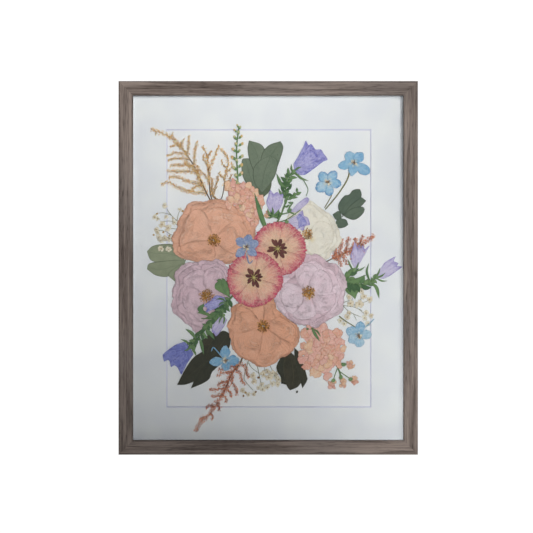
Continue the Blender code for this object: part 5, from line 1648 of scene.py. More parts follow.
stock_petal = partial(tissue, slot="stock_petal", rim_width=0.9, rim_share=0.65, vein_share=0.35,
                      vein_count=6.0, crease_share=0.4, spots=0.2, bump=0.7)
STOCK = stock_petal("stock petal", (222, 172, 150), (214, 158, 140), rim=(152, 92, 68), vein=(198, 136, 112),
                    crease=(240, 208, 190), heart=(196, 176, 112), heart_reach=0.2)
STOCK_PINK = stock_petal("pink stock petal", (214, 160, 148), (222, 174, 160), rim=(146, 84, 68),
                         vein=(192, 124, 110), crease=(238, 204, 192))
STOCK_PALE = stock_petal("pale stock petal", (226, 186, 158), (218, 176, 146), rim=(158, 104, 70),
                         vein=(202, 154, 118), crease=(240, 216, 194), spots=0.25)

BUD_GREEN = tissue("green bud", (150, 168, 124), (196, 178, 132), "stock_petal", crease_share=0.3,
                   crease=(206, 206, 170), spots=0.2)
CRIMSON = tissue("crimson-edged petal", (236, 188, 162), (228, 170, 150), "crimson_petal",
                 heart=(226, 206, 156), heart_reach=0.6, edge=(196, 70, 104), edge_from=0.68, edge_full=0.93,
                 streak=0.17, rim=(160, 44, 78), rim_width=1.2, vein=(176, 110, 104), vein_share=0.4,
                 vein_count=40.0, crease_share=0.3, crease=(238, 206, 186), wrinkle=0.7, bump=0.5)
STAR = tissue("dark star", (84, 46, 46), (112, 68, 62), "crimson_petal", rim=(60, 34, 36), rim_width=0.6,
              spots=0.4, bump=0.4)
RAYS = tissue("pale rays", (204, 194, 124), (184, 172, 100), "crimson_petal", spots=0.2)
THREAD = tissue("stamen thread", (190, 136, 60), (150, 96, 44), "gold_stamen")
ANTHER = tissue("anther", (166, 122, 64), (124, 84, 46), "gold_stamen", spots=0.5, bump=0.2)
POLLEN = tissue("pollen", (222, 170, 76), (200, 142, 60), "gold_stamen", spots=0.3, bump=0.2)
GOLD_PLUME = (BROWN_STEM, GOLD_FLORET, GOLD_PALE, GOLD_DARK, OLIVE_FLORET)
RUST_PLUME = (RUST_STEM, RUST_FLORET, PALE_RUST, DARK_RUST)
GYPSOPHILA = (CREAM, BUD_EYE, OLIVE_STEM)
DELPHINIUM = (OLIVE_STEM, CREAM, BUD_EYE)         # after the colour of the petals


# ---------------------------------------------------------------- the flowers

@dataclass
class Specimen:
    """One pressed plant, which stands for one CAD node."""

    name: str
    node: str
    finishes: tuple[Finish, ...]
    seed: int

    def build(self, press: Press) -> None:
        """Press the plant and hand its piece to the frame.

        Args:
            press: where it is laid.
        """
        press.start(self.name, self.finishes, self.seed)
        self.lay(press)
        press.sheet.finished(self.node)

    def lay(self, press: Press) -> None:
        """Lay the plant's parts from the lowest up.

        Args:
            press: where they are laid.
        """
        raise NotImplementedError


@dataclass
class Parts(Specimen):
    """A plant made of parts given one by one."""

    parts: Sequence[object] = ()

    def lay(self, press: Press) -> None:
        """Lay the parts in the order given."""
        for part in self.parts:
            part.lay(press)


@dataclass
class Plume:
    """A branchlet crowded with tiny florets."""

    line: Sequence[Point]
    width: float
    tip_width: float
    florets: tuple[int, ...]           # their finishes
    size: float = 0.95                 # of a floret, in mm
    crowding: float = 0.95             # of the florets, against what would cover the band once

    def lay(self, press: Press) -> None:
        """Press it.

        Args:
            press: where it is laid.
        """
        Stalk(self.line, 0.8, 0.4, 0, 0.6, 2, 5).lay(press)
        with press.together():
            self._florets(press)

    def _florets(self, press: Press) -> None:
        """Press the florets.

        Args:
            press: where they are laid.
        """
        way, rng = smooth(self.line, 60), press.rng
        side = beside(way)
        area = length_of(way) * 0.5 * (self.width + self.tip_width)
        count = max(8, round(area * self.crowding / (3.14 * self.size**2)))
        for number in range(count):
            t = (number + rng.random()) / count
            place = min(int(t * 59.9), 59)
            reach = 0.5 * (self.width + (self.tip_width - self.width) * t)
            comb = 0.72 + 0.28 * math.sin(number * 0.9)
            off = reach * comb * rng.uniform(-1.0, 1.0)
            spot = tuple(value + rng.uniform(-0.3, 0.3) for value in way[place] + side[place] * off)
            size = self.size * rng.uniform(0.7, 1.25)
            press.lump(spot, (size, size * rng.uniform(0.55, 0.85), size * 0.6), rng.choice(self.florets))


@dataclass
class Bloom:
    """A tiny double flower: a rosette of crumpled petals round a dark eye."""

    middle: Point
    radius: float

    def lay(self, press: Press) -> None:
        """Press it.

        Args:
            press: where it is laid.
        """
        rng, petals = press.rng, 9 if self.radius > 3.5 else 6
        turn = rng.uniform(0, ANY_TURN)
        shape = ((-1.0, 0.45), (-0.75, 0.85), (-0.25, 1.0), (0.0, 0.9), (0.3, 1.02), (0.8, 0.82),
                 (1.0, 0.45))
        for number in range(petals):
            ring = 0.62 if number >= petals * 0.6 else 1.0
            angle = turn + number * GOLDEN_ANGLE
            reach = self.radius * ring * rng.uniform(0.82, 1.1)
            spread = rng.uniform(0.45, 0.7)
            arc = [around(self.middle, angle + spread * side, reach * out) for side, out in shape]
            Fan(self.middle, arc, wrinkle=0.2, pleats=0.15, pleat_count=3.0, stiffness=1,
                spacing=max(0.55, self.radius * 0.17)).lay(press)
        for _ in range(rng.randint(3, 6)):
            off, angle = rng.uniform(0, self.radius * 0.4), rng.uniform(0, ANY_TURN)
            size = rng.uniform(0.25, 0.45)
            press.lump(around(self.middle, angle, off), (size, size * 0.7, size * 0.5), 1)


@dataclass
class Knot:
    """A bud or a lump, as one rounded body."""

    middle: Point
    radius: float
    long: float                        # its length against its width
    turn: float = 0.0                  # in radians
    finish: int = 0

    def lay(self, press: Press) -> None:
        """Press it."""
        size = (self.radius * self.long, self.radius, self.radius * 0.4)
        press.lump(self.middle, size, self.finish, self.turn)


def petal(foot: Point, tip: Point, width: float, point: float = 0.0, **more: object) -> Fan:
    """A petal from its foot to its tip.

    Args:
        foot: its foot, in mm.
        tip: its tip, in mm.
        width: its greatest width, in mm.
        point: 0 for a round tip, 1 for a pointed one.
        more: any of Fan's other fields.

    Returns:
        The petal.
    """
    ax, ay = foot
    dx, dy = tip[0] - ax, tip[1] - ay
    long = math.hypot(dx, dy)
    ux, uy = dx / long, dy / long
    belly, shoulder = 0.62 - 0.12 * point, 0.36 - 0.20 * point
    half = ((0.02, 0.10), (0.30, 0.36), (belly, 0.50), (0.88, shoulder))
    shape = (*half, (1.0, 0.0), *((t, -s) for t, s in reversed(half)))
    arc = [(ax + ux * long * t - uy * width * s, ay + uy * long * t + ux * width * s) for t, s in shape]
    middle = (ax + ux * long * 0.10, ay + uy * long * 0.10)
    return Fan(middle, arc, **more)


def leaf(line: str | Sequence[Point], width: float, finish: int = 1, cup: float = 0.35) -> Blade:
    """A leaf that tapers to both ends along a curve.

    Args:
        line: its foot, a point half way along it, and its tip.
        width: its greatest width, in mm.
        finish: number of the finish.
        cup: how far the middle stands above the edges, in mm.

    Returns:
        The leaf.
    """
    way = smooth(points(line) if isinstance(line, str) else line, 9)
    half = 0.5 * width * np.array([0.12, 0.45, 0.8, 0.97, 1.0, 0.9, 0.68, 0.38, 0.04])
    off = beside(way) * half[:, None]
    return Blade(way + off, way - off, finish, cup)


@dataclass
class Rose(Specimen):
    """A rose pressed open: rings of crinkled petals, each over the one outside it, and a tuft of stamens."""

    middle: Point
    outline: str
    rings: Sequence[tuple[float, int]]       # reach of each, as a share of the outline's, and its petals
    petals: Sequence[Fan]
    tuft: Tuft

    def _reach(self, angles: np.ndarray) -> np.ndarray:
        """Distances from the middle to the outline in some directions.

        Args:
            angles: the directions, in radians.

        Returns:
            A distance in mm for each.
        """
        edge = smooth(points(self.outline), 240, True) - np.asarray(self.middle)
        turns = np.arctan2(edge[:, 1], edge[:, 0])
        order = np.argsort(turns)
        return np.interp(angles, turns[order], np.hypot(*edge[order].T), period=2 * np.pi)

    def _ring(self, press: Press, share: float, count: int, hollow: float) -> None:
        """Lay one ring of petals.

        Args:
            press: where they are laid.
            share: the ring's reach as a share of the outline's.
            count: how many petals.
            hollow: share of the way out at which they begin.
        """
        rng, outer = press.rng, share > 0.95
        start, order = rng.uniform(0.0, ANY_TURN), list(range(count))
        rng.shuffle(order)
        across = np.linspace(-1.0, 1.0, 15)
        for number in order:
            spread = math.pi / count * rng.uniform(1.2, 1.5)
            turn = start + 2 * math.pi * number / count + rng.uniform(-0.2, 0.2)
            skew = rng.uniform(-0.05, 0.05) * (not outer)
            angles = turn + across * spread
            fall = 1.0 - 0.05 * np.abs(across) ** 2 - 0.36 * np.abs(across) ** 9 + skew * across
            size = 1.0 if outer else rng.uniform(0.9, 1.05)
            reach = self._reach(angles) * share * size * fall
            arc = [around(self.middle, angle, far) for angle, far in zip(angles, reach)]
            Fan(self.middle, arc, hollow=hollow, pleats=0.1, pleat_count=5.0, curl=0.1, wrinkle=0.14,
                frill=1.2, crinkles=0.42, crinkle_scale=rng.uniform(0.10, 0.14), stiffness=7, spacing=1.18,
                finish=rng.choice((0, 0, len(self.finishes) - 1)), seam=3.0).lay(press)

    def lay(self, press: Press) -> None:
        """Lay a disc to the outline, the rings, then the petals given one by one.

        Args:
            press: where they are laid.
        """
        middle = np.asarray(self.middle)
        edge = middle + 0.93 * (smooth(points(self.outline), 60, True) - middle)
        Fan(self.middle, edge[::2], hollow=0.55, round_it=True, frill=0.4, pleats=0.1, pleat_count=31.0,
            crinkles=0.25, stiffness=8, spacing=1.5).lay(press)
        for share, count in self.rings:
            last = share == self.rings[-1][0]
            self._ring(press, share, count, 0.06 if last else 0.55)
        for item in self.petals:
            item.lay(press)

    def build(self, press: Press) -> None:
        """Press the flower, then its stamens as a piece of their own.

        Args:
            press: where it is laid.
        """
        super().build(press)
        press.start(f"{self.name}_stamens", (THREAD, ANTHER, POLLEN), self.seed + 500)
        self.tuft.lay(press)
        press.sheet.finished(f"{self.node}_stamens")


@dataclass
class Ranunculus(Specimen):
    """A frilled disc of overlapping petals with a dark star and pale rays in its middle."""

    middle: Point
    outline: str
    petals: int = 6
    lobes: int = 11
    star: float = 15.0                 # reach of the star's lobes, in mm
    rays: int = 8
    ray: float = 7.4                   # reach of the rays, in mm

    def lay(self, press: Press) -> None:
        """Lay the petals, the star and the rays.

        Args:
            press: where they are laid.
        """
        rng, middle = press.rng, np.asarray(self.middle)
        edge = smooth(points(self.outline), 120, True)
        Fan(self.middle, edge[::3], round_it=True, frill=1.8, pleats=0.12, pleat_count=44.0, wrinkle=0.1,
            crinkles=0.15, stiffness=9, curl=0.1).lay(press)
        share = 120 // self.petals
        for number in range(self.petals):
            begin = number * share - 4
            run = [edge[(begin + step) % 120] for step in range(0, share + 9, 4)]
            pulls = [0.2, 0.03] + [0.012] * (len(run) - 4) + [0.03, 0.2]
            arc = [spot + (middle - spot) * pull for spot, pull in zip(run, pulls)]
            Fan(self.middle, arc, hollow=0.05, pleats=0.25, pleat_count=9.0, curl=0.1, frill=4.2,
                crinkles=0.3, stiffness=8).lay(press)
        for number in range(self.lobes):
            angle = 2 * math.pi * number / self.lobes + rng.uniform(-0.2, 0.2)
            reach = self.star * rng.uniform(0.7, 1.12)
            petal(self.middle, around(self.middle, angle, reach), reach * rng.uniform(0.3, 0.42), finish=1,
                  cup=0.15, pleats=0.1, pleat_count=2.0, spacing=0.7).lay(press)
        for number in range(self.rays):
            angle = 2 * math.pi * number / self.rays + rng.uniform(-0.2, 0.2)
            end = around(self.middle, angle, self.ray * rng.uniform(0.75, 1.15))
            Stalk([self.middle, end], 1.2, 0.5, 2, 0.4, 0, 5).lay(press)
        Knot(self.middle, 1.7, 1.0, 0.0, 2).lay(press)


@dataclass
class Delphinium(Specimen):
    """Five soft petals round a pale eye, with a spur and a stem behind them."""

    middle: Point
    tips: str
    width: float
    spur: str = ""
    stem: str = ""
    stem_width: float = 1.6

    def lay(self, press: Press) -> None:
        """Lay the stem and spur, the petals and the eye.

        Args:
            press: where they are laid.
        """
        rng = press.rng
        if self.stem:
            Stalk(points(self.stem), self.stem_width, self.stem_width * 0.8, 1).lay(press)
        if self.spur:
            Stalk(points(self.spur), 2.6, 1.4, 0).lay(press)
        for tip in points(self.tips):
            petal(self.middle, tip, self.width * rng.uniform(1.0, 1.3), rng.uniform(0.1, 0.6), pleats=0.3,
                  pleat_count=4.0, wrinkle=0.18, frill=min(0.9, math.dist(tip, self.middle) * 0.06),
                  curl=0.15, crinkles=0.25, crinkle_scale=0.22).lay(press)
        for _ in range(2):
            tip = around(self.middle, rng.uniform(0, ANY_TURN), 5.2)
            petal(self.middle, tip, 4.6, finish=2, wrinkle=0.2, frill=0.3, stiffness=2).lay(press)
        for _ in range(9):
            end = around(self.middle, rng.uniform(0, ANY_TURN), rng.uniform(3.0, 6.5))
            Stalk([self.middle, end], 0.5, 0.3, 3, 0.6, 0, 4).lay(press)
        for _ in range(14):
            spot = around(self.middle, rng.uniform(0, ANY_TURN), rng.uniform(0.3, 3.6))
            size = rng.uniform(0.4, 0.8)
            press.lump(spot, (size, size * 0.6, size * 0.5), 3)


@dataclass
class Cluster:
    """Many crumpled petals crowded inside an outline."""

    outline: str
    count: int
    radius: float                      # of a petal, in mm
    finishes: tuple[int, ...]
    base: int = 0                      # finish of what shows between the petals

    def lay(self, press: Press) -> None:
        """Press it.

        Args:
            press: where it is laid.
        """
        rng, outline = press.rng, points(self.outline)
        if self.count > 20:
            middle = np.mean(outline, axis=0)
            Fan(middle, middle + 0.86 * (outline - middle), round_it=True, frill=1.2, pleats=0.2,
                pleat_count=21.0, finish=self.base, spacing=1.3).lay(press)
        for x, y in self._spots(rng, outline):
            radius, angle = self.radius * rng.uniform(0.6, 1.15), rng.uniform(0, ANY_TURN)
            foot = around((x, y), angle, -radius * 0.45)
            arc = []
            for step in range(11):
                swing = angle + (step - 5) * rng.uniform(0.3, 0.36)
                fall = (1.0, 0.93)[step % 2] * (1.0 - 0.03 * abs(step - 5) ** 1.7)
                arc.append(around(foot, swing, radius * rng.uniform(1.02, 1.3) * fall))
            Fan(foot, arc, pleats=0.4, pleat_count=5.0, frill=0.9, wrinkle=0.3, crinkles=0.6,
                crinkle_scale=0.2, curl=0.1, finish=rng.choice(self.finishes), stiffness=2,
                spacing=0.95).lay(press)

    def _spots(self, rng: random.Random, outline: list[Point]) -> list[Point]:
        """Places spread through the outline: of each dozen tried, the one farthest from the others.

        Args:
            rng: where they come from.
            outline: its corners, in mm.

        Returns:
            As many places as there are petals.
        """
        xs, ys = zip(*outline)
        spots: list[Point] = []
        while len(spots) < self.count:
            fresh = [(rng.uniform(min(xs), max(xs)), rng.uniform(min(ys), max(ys))) for _ in range(12)]
            fresh = [spot for spot in fresh if within(outline, *spot)]
            if fresh:
                spots.append(max(fresh, key=lambda spot: min([math.dist(spot, one) for one in spots] or [0])))
        rng.shuffle(spots)
        return spots


def within(outline: Sequence[Point], x: float, y: float) -> bool:
    """Whether a place lies inside an outline: each edge that crosses its height turns the answer round.

    Args:
        outline: its corners, in mm.
        x: the place to the right, in mm.
        y: the place up, in mm.

    Returns:
        Whether it lies inside.
    """
    hit = False
    for (ax, ay), (bx, by) in zip(outline, [*outline[1:], outline[0]]):
        if (ay > y) != (by > y) and x < (bx - ax) * (y - ay) / (by - ay) + ax:
            hit = not hit
    return hit


@dataclass
class LeafySprig:
    """Narrow leaves that leave a stem on both sides."""

    line: str
    count: int
    long: float
    width: float
    finishes: tuple[int, ...]
    spread: float = 0.8                # how far they turn from the stem, in radians

    def lay(self, press: Press) -> None:
        """Press it.

        Args:
            press: where it is laid.
        """
        way, count, rng = smooth(points(self.line), 40), round(self.count * 1.5), press.rng
        for number in range(count):
            place = min(int((number + 0.5) / count * 39), 38)
            ahead = math.atan2(*(way[place + 1] - way[place])[::-1])
            turn = ahead + (1 if number % 2 else -1) * self.spread * rng.uniform(0.5, 1.3)
            long, bow = self.long * rng.uniform(0.7, 1.2), rng.uniform(-0.5, 0.5)
            foot = tuple(way[place])
            line = [foot, around(foot, turn, long * 0.5), around(foot, turn + bow, long)]
            width = self.width * rng.uniform(1.0, 1.6)
            leaf(line, width, rng.choice(self.finishes), 0.5).lay(press)


def stalk(line: str | Sequence[Point], width: float, finish: int = 0, tip: float = 0.7) -> Stalk:
    """A stem whose tip is a share of its foot's width."""
    return Stalk(points(line) if isinstance(line, str) else line, width, width * tip, finish)


def plume(line: str, width: float, florets: tuple[int, ...] = (1, 1, 2, 3)) -> Plume:
    """A branchlet of an astilbe."""
    return Plume(points(line), width * 2.1, width * 1.4, florets)


def blade(foot: str, left: str, right: str, tip: str, finish: int = 0) -> Blade:
    """A leaf between its left and its right edge."""
    return Blade(*(points(f"{foot} {edge} {tip}") for edge in (left, right)), finish)


def bell(foot: Point, arc: str, bend: float, pleats: float, pleat_count: float = 7.0, finish: int = 0) -> Fan:
    """A bellflower pressed flat, with a cornered mouth."""
    return Fan(foot, points(arc), bend=bend, pleats=pleats, pleat_count=pleat_count, finish=finish)


def rose_petal(foot: Point, arc: str, curl: float = 0.35, pleats: float = 0.16,
               pleat_count: float = 7.0, frill: float = 0.6) -> Fan:
    """A rose's inner petal, crinkled and curled."""
    return Fan(foot, points(arc), curl=curl, pleats=pleats, pleat_count=pleat_count, crinkles=0.4,
               frill=frill, seam=3.0)


def blooms(text: str) -> list[Bloom]:
    """Gypsophila flowers, each written as its mm to the right, its mm up and its radius in mm."""
    given = [[float(number) for number in word.split(",")] for word in text.split()]
    return [Bloom((right, up), radius) for right, up, radius in given]


def bud(root: Point, middle: Point, radius: float, turn: float, finish: int) -> list[object]:
    """A stalked bud with its calyx.

    Args:
        root: where its stalk leaves the stem, in mm.
        middle: of the bud, in mm.
        radius: of the bud, in mm.
        turn: of its long axis, in radians.
        finish: number of the bud's finish.

    Returns:
        The stalk, the bud and the calyx.
    """
    base = (0.4 * root[0] + 0.6 * middle[0], 0.4 * root[1] + 0.6 * middle[1])
    return [stalk([root, middle], 1.0, 1), Knot(middle, radius, 1.35, turn, finish),
            Knot(base, 0.92 * radius, 1.3, turn, 6)]


def floret(middle: Point, radius: float, finish: int, petals: int, turn: float) -> list[Fan]:
    """Crumpled rounded petals that stand round one spot.

    Args:
        middle: the spot, in mm.
        radius: of the whole, in mm.
        finish: number of the finish.
        petals: how many.
        turn: direction of the first, in radians.

    Returns:
        The petals.
    """
    made = []
    for number in range(petals):
        angle = turn + number * 2 * math.pi / petals
        foot, tip = around(middle, angle, -0.05 * radius), around(middle, angle, radius)
        made.append(petal(foot, tip, radius * 1.15, finish=finish, pleats=0.2, pleat_count=4.0, frill=0.4,
                          wrinkle=0.2, stiffness=2, thickness=0.12))
    return made


# ---------------------------------------------------------------- the composition

def lower_plants() -> list[Specimen]:
    """The plants that lie lowest.

    Returns:
        The plants, the lowest first.
    """
    return [
        Parts("plume_gold", "gold_astilbe_main", GOLD_PLUME, 3, [
            stalk("-67,79 -82,95 -96,122 -109,150 -126,175", 1.9),
            plume("-126,175 -135,185 -146,193 -171,202", 5.2),
            plume("-117,163 -123,172 -132,181 -138,177 -143,178", 3.6),
            plume("-120,166 -135,168 -148,163", 3.6), plume("-114,158 -132,160 -146,157", 3.6),
            plume("-108,148 -126,150 -143,149", 4.2), plume("-104,140 -127,141 -148,141", 4.6),
            plume("-95,121 -110,125 -123,128 -136,134 -145,132", 4.4),
            plume("-89,109 -111,111 -131,117 -144,125 -156,122", 4.6),
            plume("-127,175 -128,177 -123,189", 3.0), plume("-119,163 -116,179 -116,194", 3.6),
            plume("-108,147 -107,168 -103,185", 3.8), plume("-162,198 -165,194", 2.6),
            plume("-142,189 -140,193 -139,198", 2.6), plume("-100,128 -105,140 -114,149 -123,155", 4.6),
            plume("-91,114 -100,120 -108,117 -117,111", 4.8), plume("-94,120 -101,134 -103,149", 4.4),
        ]),
        Parts("plume_gold_side", "gold_astilbe_side", GOLD_PLUME, 4, [
            stalk("-75,86 -84,106 -86,132 -88,153", 1.6), stalk("-79,95 -68,102 -64,122 -62,136", 1.4),
            plume("-86,122 -86,132 -88,153 -92,172 -96,177", 4.0), plume("-86,127 -94,137 -101,144", 3.6),
            plume("-87,149 -94,158 -95,165", 3.0), plume("-87,143 -80,158 -72,179", 3.6),
            plume("-90,160 -85,166 -83,171", 2.8), plume("-64,120 -62,136 -59,150 -60,161 -69,174", 3.6),
            plume("-62,131 -69,134 -72,140", 2.8), plume("-60,145 -66,151 -68,158", 2.8),
            plume("-61,140 -54,145 -53,155", 2.8), plume("-63,124 -56,128 -54,137", 2.8, (4, 3)),
            plume("-82,105 -76,120 -73,134", 3.4, (1, 4, 3)),
            plume("-73,93 -82,111 -81,131", 4.0, (1, 4, 3)),
        ]),
        Parts("leaves_top", "eucalyptus_top", (SAGE, SAGE_OLIVE), 5, [
            blade("-7,103", "-17,111 -20,125 -18,137", "2,112 5,124 3,137", "-9,146", 1),
            blade("-9,111", "-27,118 -36,131 -39,145 -38,158", "-15,128 -20,148 -27,159", "-33,160"),
            blade("-9,114", "-21,140 -28,160 -30,175", "-3,143 -3,166 -10,180", "-28,186"),
            blade("-6,114", "-12,143 -9,166 1,179", "9,137 18,160 22,176", "18,185"),
            blade("-9,109", "-20,124 -22,143 -14,155", "4,124 12,140 13,157", "2,164"),
        ]),
        Parts("leaves_right", "eucalyptus_right", (SAGE_DEEP, SAGE), 7, [
            stalk("100,70 107,74 112,79 122,89", 1.5, 1),
            blade("102,73", "99,68 98,62 103,58 111,59", "108,72 114,70", "117,63"),
            blade("107,73", "102,70 98,71", "106,80 102,83", "94,78"),
            blade("109,76", "103,85 103,94 111,105 118,107 123,113 129,115", "119,87 130,95 136,104 136,110",
                  "134,115"),
            blade("110,77", "119,90 130,99 136,103", "122,82 131,87 137,91", "143,98"),
            blade("110,76", "119,85 130,89 138,89", "115,73 124,70 132,73 139,80", "141,86"),
        ]),
        Parts("leaves_left", "eucalyptus_left", (SAGE_PALE,), 9, [
            blade("-120,14", "-135,32 -150,35 -168,32", "-135,6 -155,7 -171,11", "-177,24"),
            blade("-120,12", "-140,11 -161,9 -174,6", "-126,-3 -137,-7 -148,-13 -164,-11", "-177,-2"),
            blade("-123,7", "-136,0 -146,-10", "-127,-7", "-135,-21"),
        ]),
        Parts("rust_right", "rust_astilbe_right", RUST_PLUME, 11, [
            stalk("79,6 95,14 112,21 125,26 138,35", 1.6), plume("95,13 112,21 125,26 138,35 155,47", 6.6),
            plume("95,13 98,26 102,35", 5.0), plume("103,17 106,30 109,42", 5.0),
            plume("112,21 115,33 118,45", 4.4), plume("122,25 126,36 128,44", 4.4),
            plume("131,30 136,41 138,48", 3.8), plume("98,15 105,9 107,2", 4.4),
            plume("107,19 112,12 115,4", 4.0), plume("119,24 123,18 122,12", 3.8),
            plume("131,30 138,26 141,22", 3.4, (1, 4, 3)),
        ]),
        Parts("rust_bottom", "rust_astilbe_bottom", RUST_PLUME, 13, [
            stalk("-35,-123 -41,-139 -48,-148 -54,-156 -59,-168 -65,-181", 2.2),
            plume("-44,-140 -54,-156 -65,-181 -78,-202 -87,-215 -99,-226 -106,-238", 5.4),
            plume("-46,-143 -59,-145 -73,-149", 4.0), plume("-52,-153 -65,-153 -75,-158", 4.0),
            plume("-58,-165 -67,-167 -74,-172", 4.0), plume("-62,-174 -75,-178 -86,-178", 4.0),
            plume("-67,-185 -76,-187 -83,-188", 3.8), plume("-78,-202 -85,-201 -91,-205", 3.4, (1, 4, 3)),
            plume("-89,-217 -95,-217 -100,-221", 3.0), plume("-44,-140 -33,-143 -32,-152 -28,-161", 4.2),
            plume("-48,-148 -40,-155 -39,-165 -33,-171", 4.2),
            plume("-54,-157 -51,-170 -46,-179 -47,-186", 4.2), plume("-61,-172 -57,-181 -53,-189", 3.8),
            plume("-67,-184 -62,-190 -62,-197", 3.6), plume("-75,-197 -71,-202 -72,-209", 3.4, (1, 4, 3)),
            plume("-84,-211 -81,-216 -83,-222", 3.0),
        ]),
        Parts("gypsophila_bottom", "gypsophila_bottom", GYPSOPHILA, 15, [
            stalk("3,-123 -9,-129 -24,-130 -35,-135", 1.1, 2),
            stalk("-28,-132 -35,-159 -32,-167 -22,-179", 0.9, 2),
            stalk("-29,-138 -24,-146 -13,-154", 0.8, 2),
            stalk("-19,-130 -14,-152 -11,-167 -10,-174", 0.9, 2), stalk("-9,-129 -6,-144 -5,-151", 0.9, 2),
            stalk("-3,-126 3,-143 9,-156 13,-164", 0.9, 2),
            *blooms("-21,-184,3.6 -22,-157,5 -21,-166,4.4 -37,-179,4.4 -29,-185,3.6 -14,-175,3.6 "
                    "-8,-177,4.4 -1,-174,4.4 -9,-170,3.6 6,-169,4.4 14,-170,4.4 15,-163,5 1,-160,5.8 "
                    "-7,-155,5 6,-154,5 12,-160,4 -1,-151,4 12,-154,3.4"),
            Knot((-14, -160), 1.6, 1.2, 0.4, 1), Knot((-18, -181), 1.2, 1.3, 0.5, 1),
            Knot((-36, -187), 1.3, 1.3, 1.2, 1), Knot((-33, -182), 1.6, 1.1, 0.0, 0),
        ]),
        Parts("gypsophila_right", "gypsophila_right", GYPSOPHILA, 17, [
            stalk("96,-47 102,-52 111,-55 124,-57 132,-60 138,-63", 0.9, 2),
            stalk("106,-53 114,-49 122,-47 123,-43", 0.8, 2),
            stalk("119,-57 129,-52 136,-45 140,-42", 0.8, 2),
            stalk("108,-54 116,-62 124,-67 136,-72", 0.8, 2), stalk("124,-66 129,-77", 0.7, 2),
            stalk("132,-60 140,-67", 0.7, 2), stalk("129,-52 141,-50 148,-46", 0.7, 2),
            *blooms("136,-34,4.6 140,-42,5 148,-46,4.8 133,-53,7 120,-52,5.4 118,-42,4.4 143,-66,4.4 "
                    "150,-70,4 115,-72,4.6 118,-66,4 141,-73,4.4 146,-81,4 111,-82,4 105,-77,4.2"),
        ]),
        Delphinium("delphinium_top_left", "delphinium_top_left", (SKY, *DELPHINIUM), 19, (87, 125),
                   "75,139 99,141 107,122 90,105 70,113", 13.5, "", "88,117 93,108 82,87"),
        Delphinium("delphinium_top_right", "delphinium_top_right", (SKY_DEEP, *DELPHINIUM), 21, (125, 153),
                   "115,169 138,168 148,138 122,134 102,148", 13.5, "", "121,149 115,128 100,105 83,85",
                   2.2),
        Parts("gypsophila_left", "gypsophila_left", GYPSOPHILA, 23, [
            stalk("-117,23 -119,35 -119,47 -120,61 -123,71", 1.2, 2),
            stalk("-122,67 -133,69 -144,80 -148,87", 0.9, 2), stalk("-141,77 -151,80 -160,80", 0.8, 2),
            stalk("-120,61 -133,63 -141,68 -153,68", 0.8, 2), stalk("-133,69 -131,79 -128,85", 0.8, 2),
            stalk("-119,55 -135,57 -146,58", 0.8, 2), stalk("-119,49 -140,48 -149,53 -161,55", 0.8, 2),
            stalk("-119,42 -135,42 -144,42 -155,41", 0.8, 2), stalk("-118,32 -129,31 -142,28", 0.8, 2),
            stalk("-132,30 -146,34 -155,29", 0.8, 2),
            *blooms("-151,91,4.6 -165,74,4.4 -161,71,3.2 -149,74,3.8 -139,72,2.6 -129,85,3.2 -155,63,5.6 "
                    "-146,58,5.6 -137,66,4.4 -163,56,4.4 -161,52,3.8 -159,45,4.4 -156,40,5 -151,43,4.4 "
                    "-144,42,4.4 -156,28,4.8 -145,27,4.8"),
            Knot((-162, 79), 1.4, 1.3, 0.2, 0), Knot((-125, 83), 1.5, 1.3, 1.0, 0),
            Knot((-153, 52), 1.4, 1.2, 0.5, 0), Knot((-167, 48), 1.4, 1.2, 0.0, 0),
            Knot((-144, 47), 1.4, 1.2, 0.7, 0),
        ]),
    ]


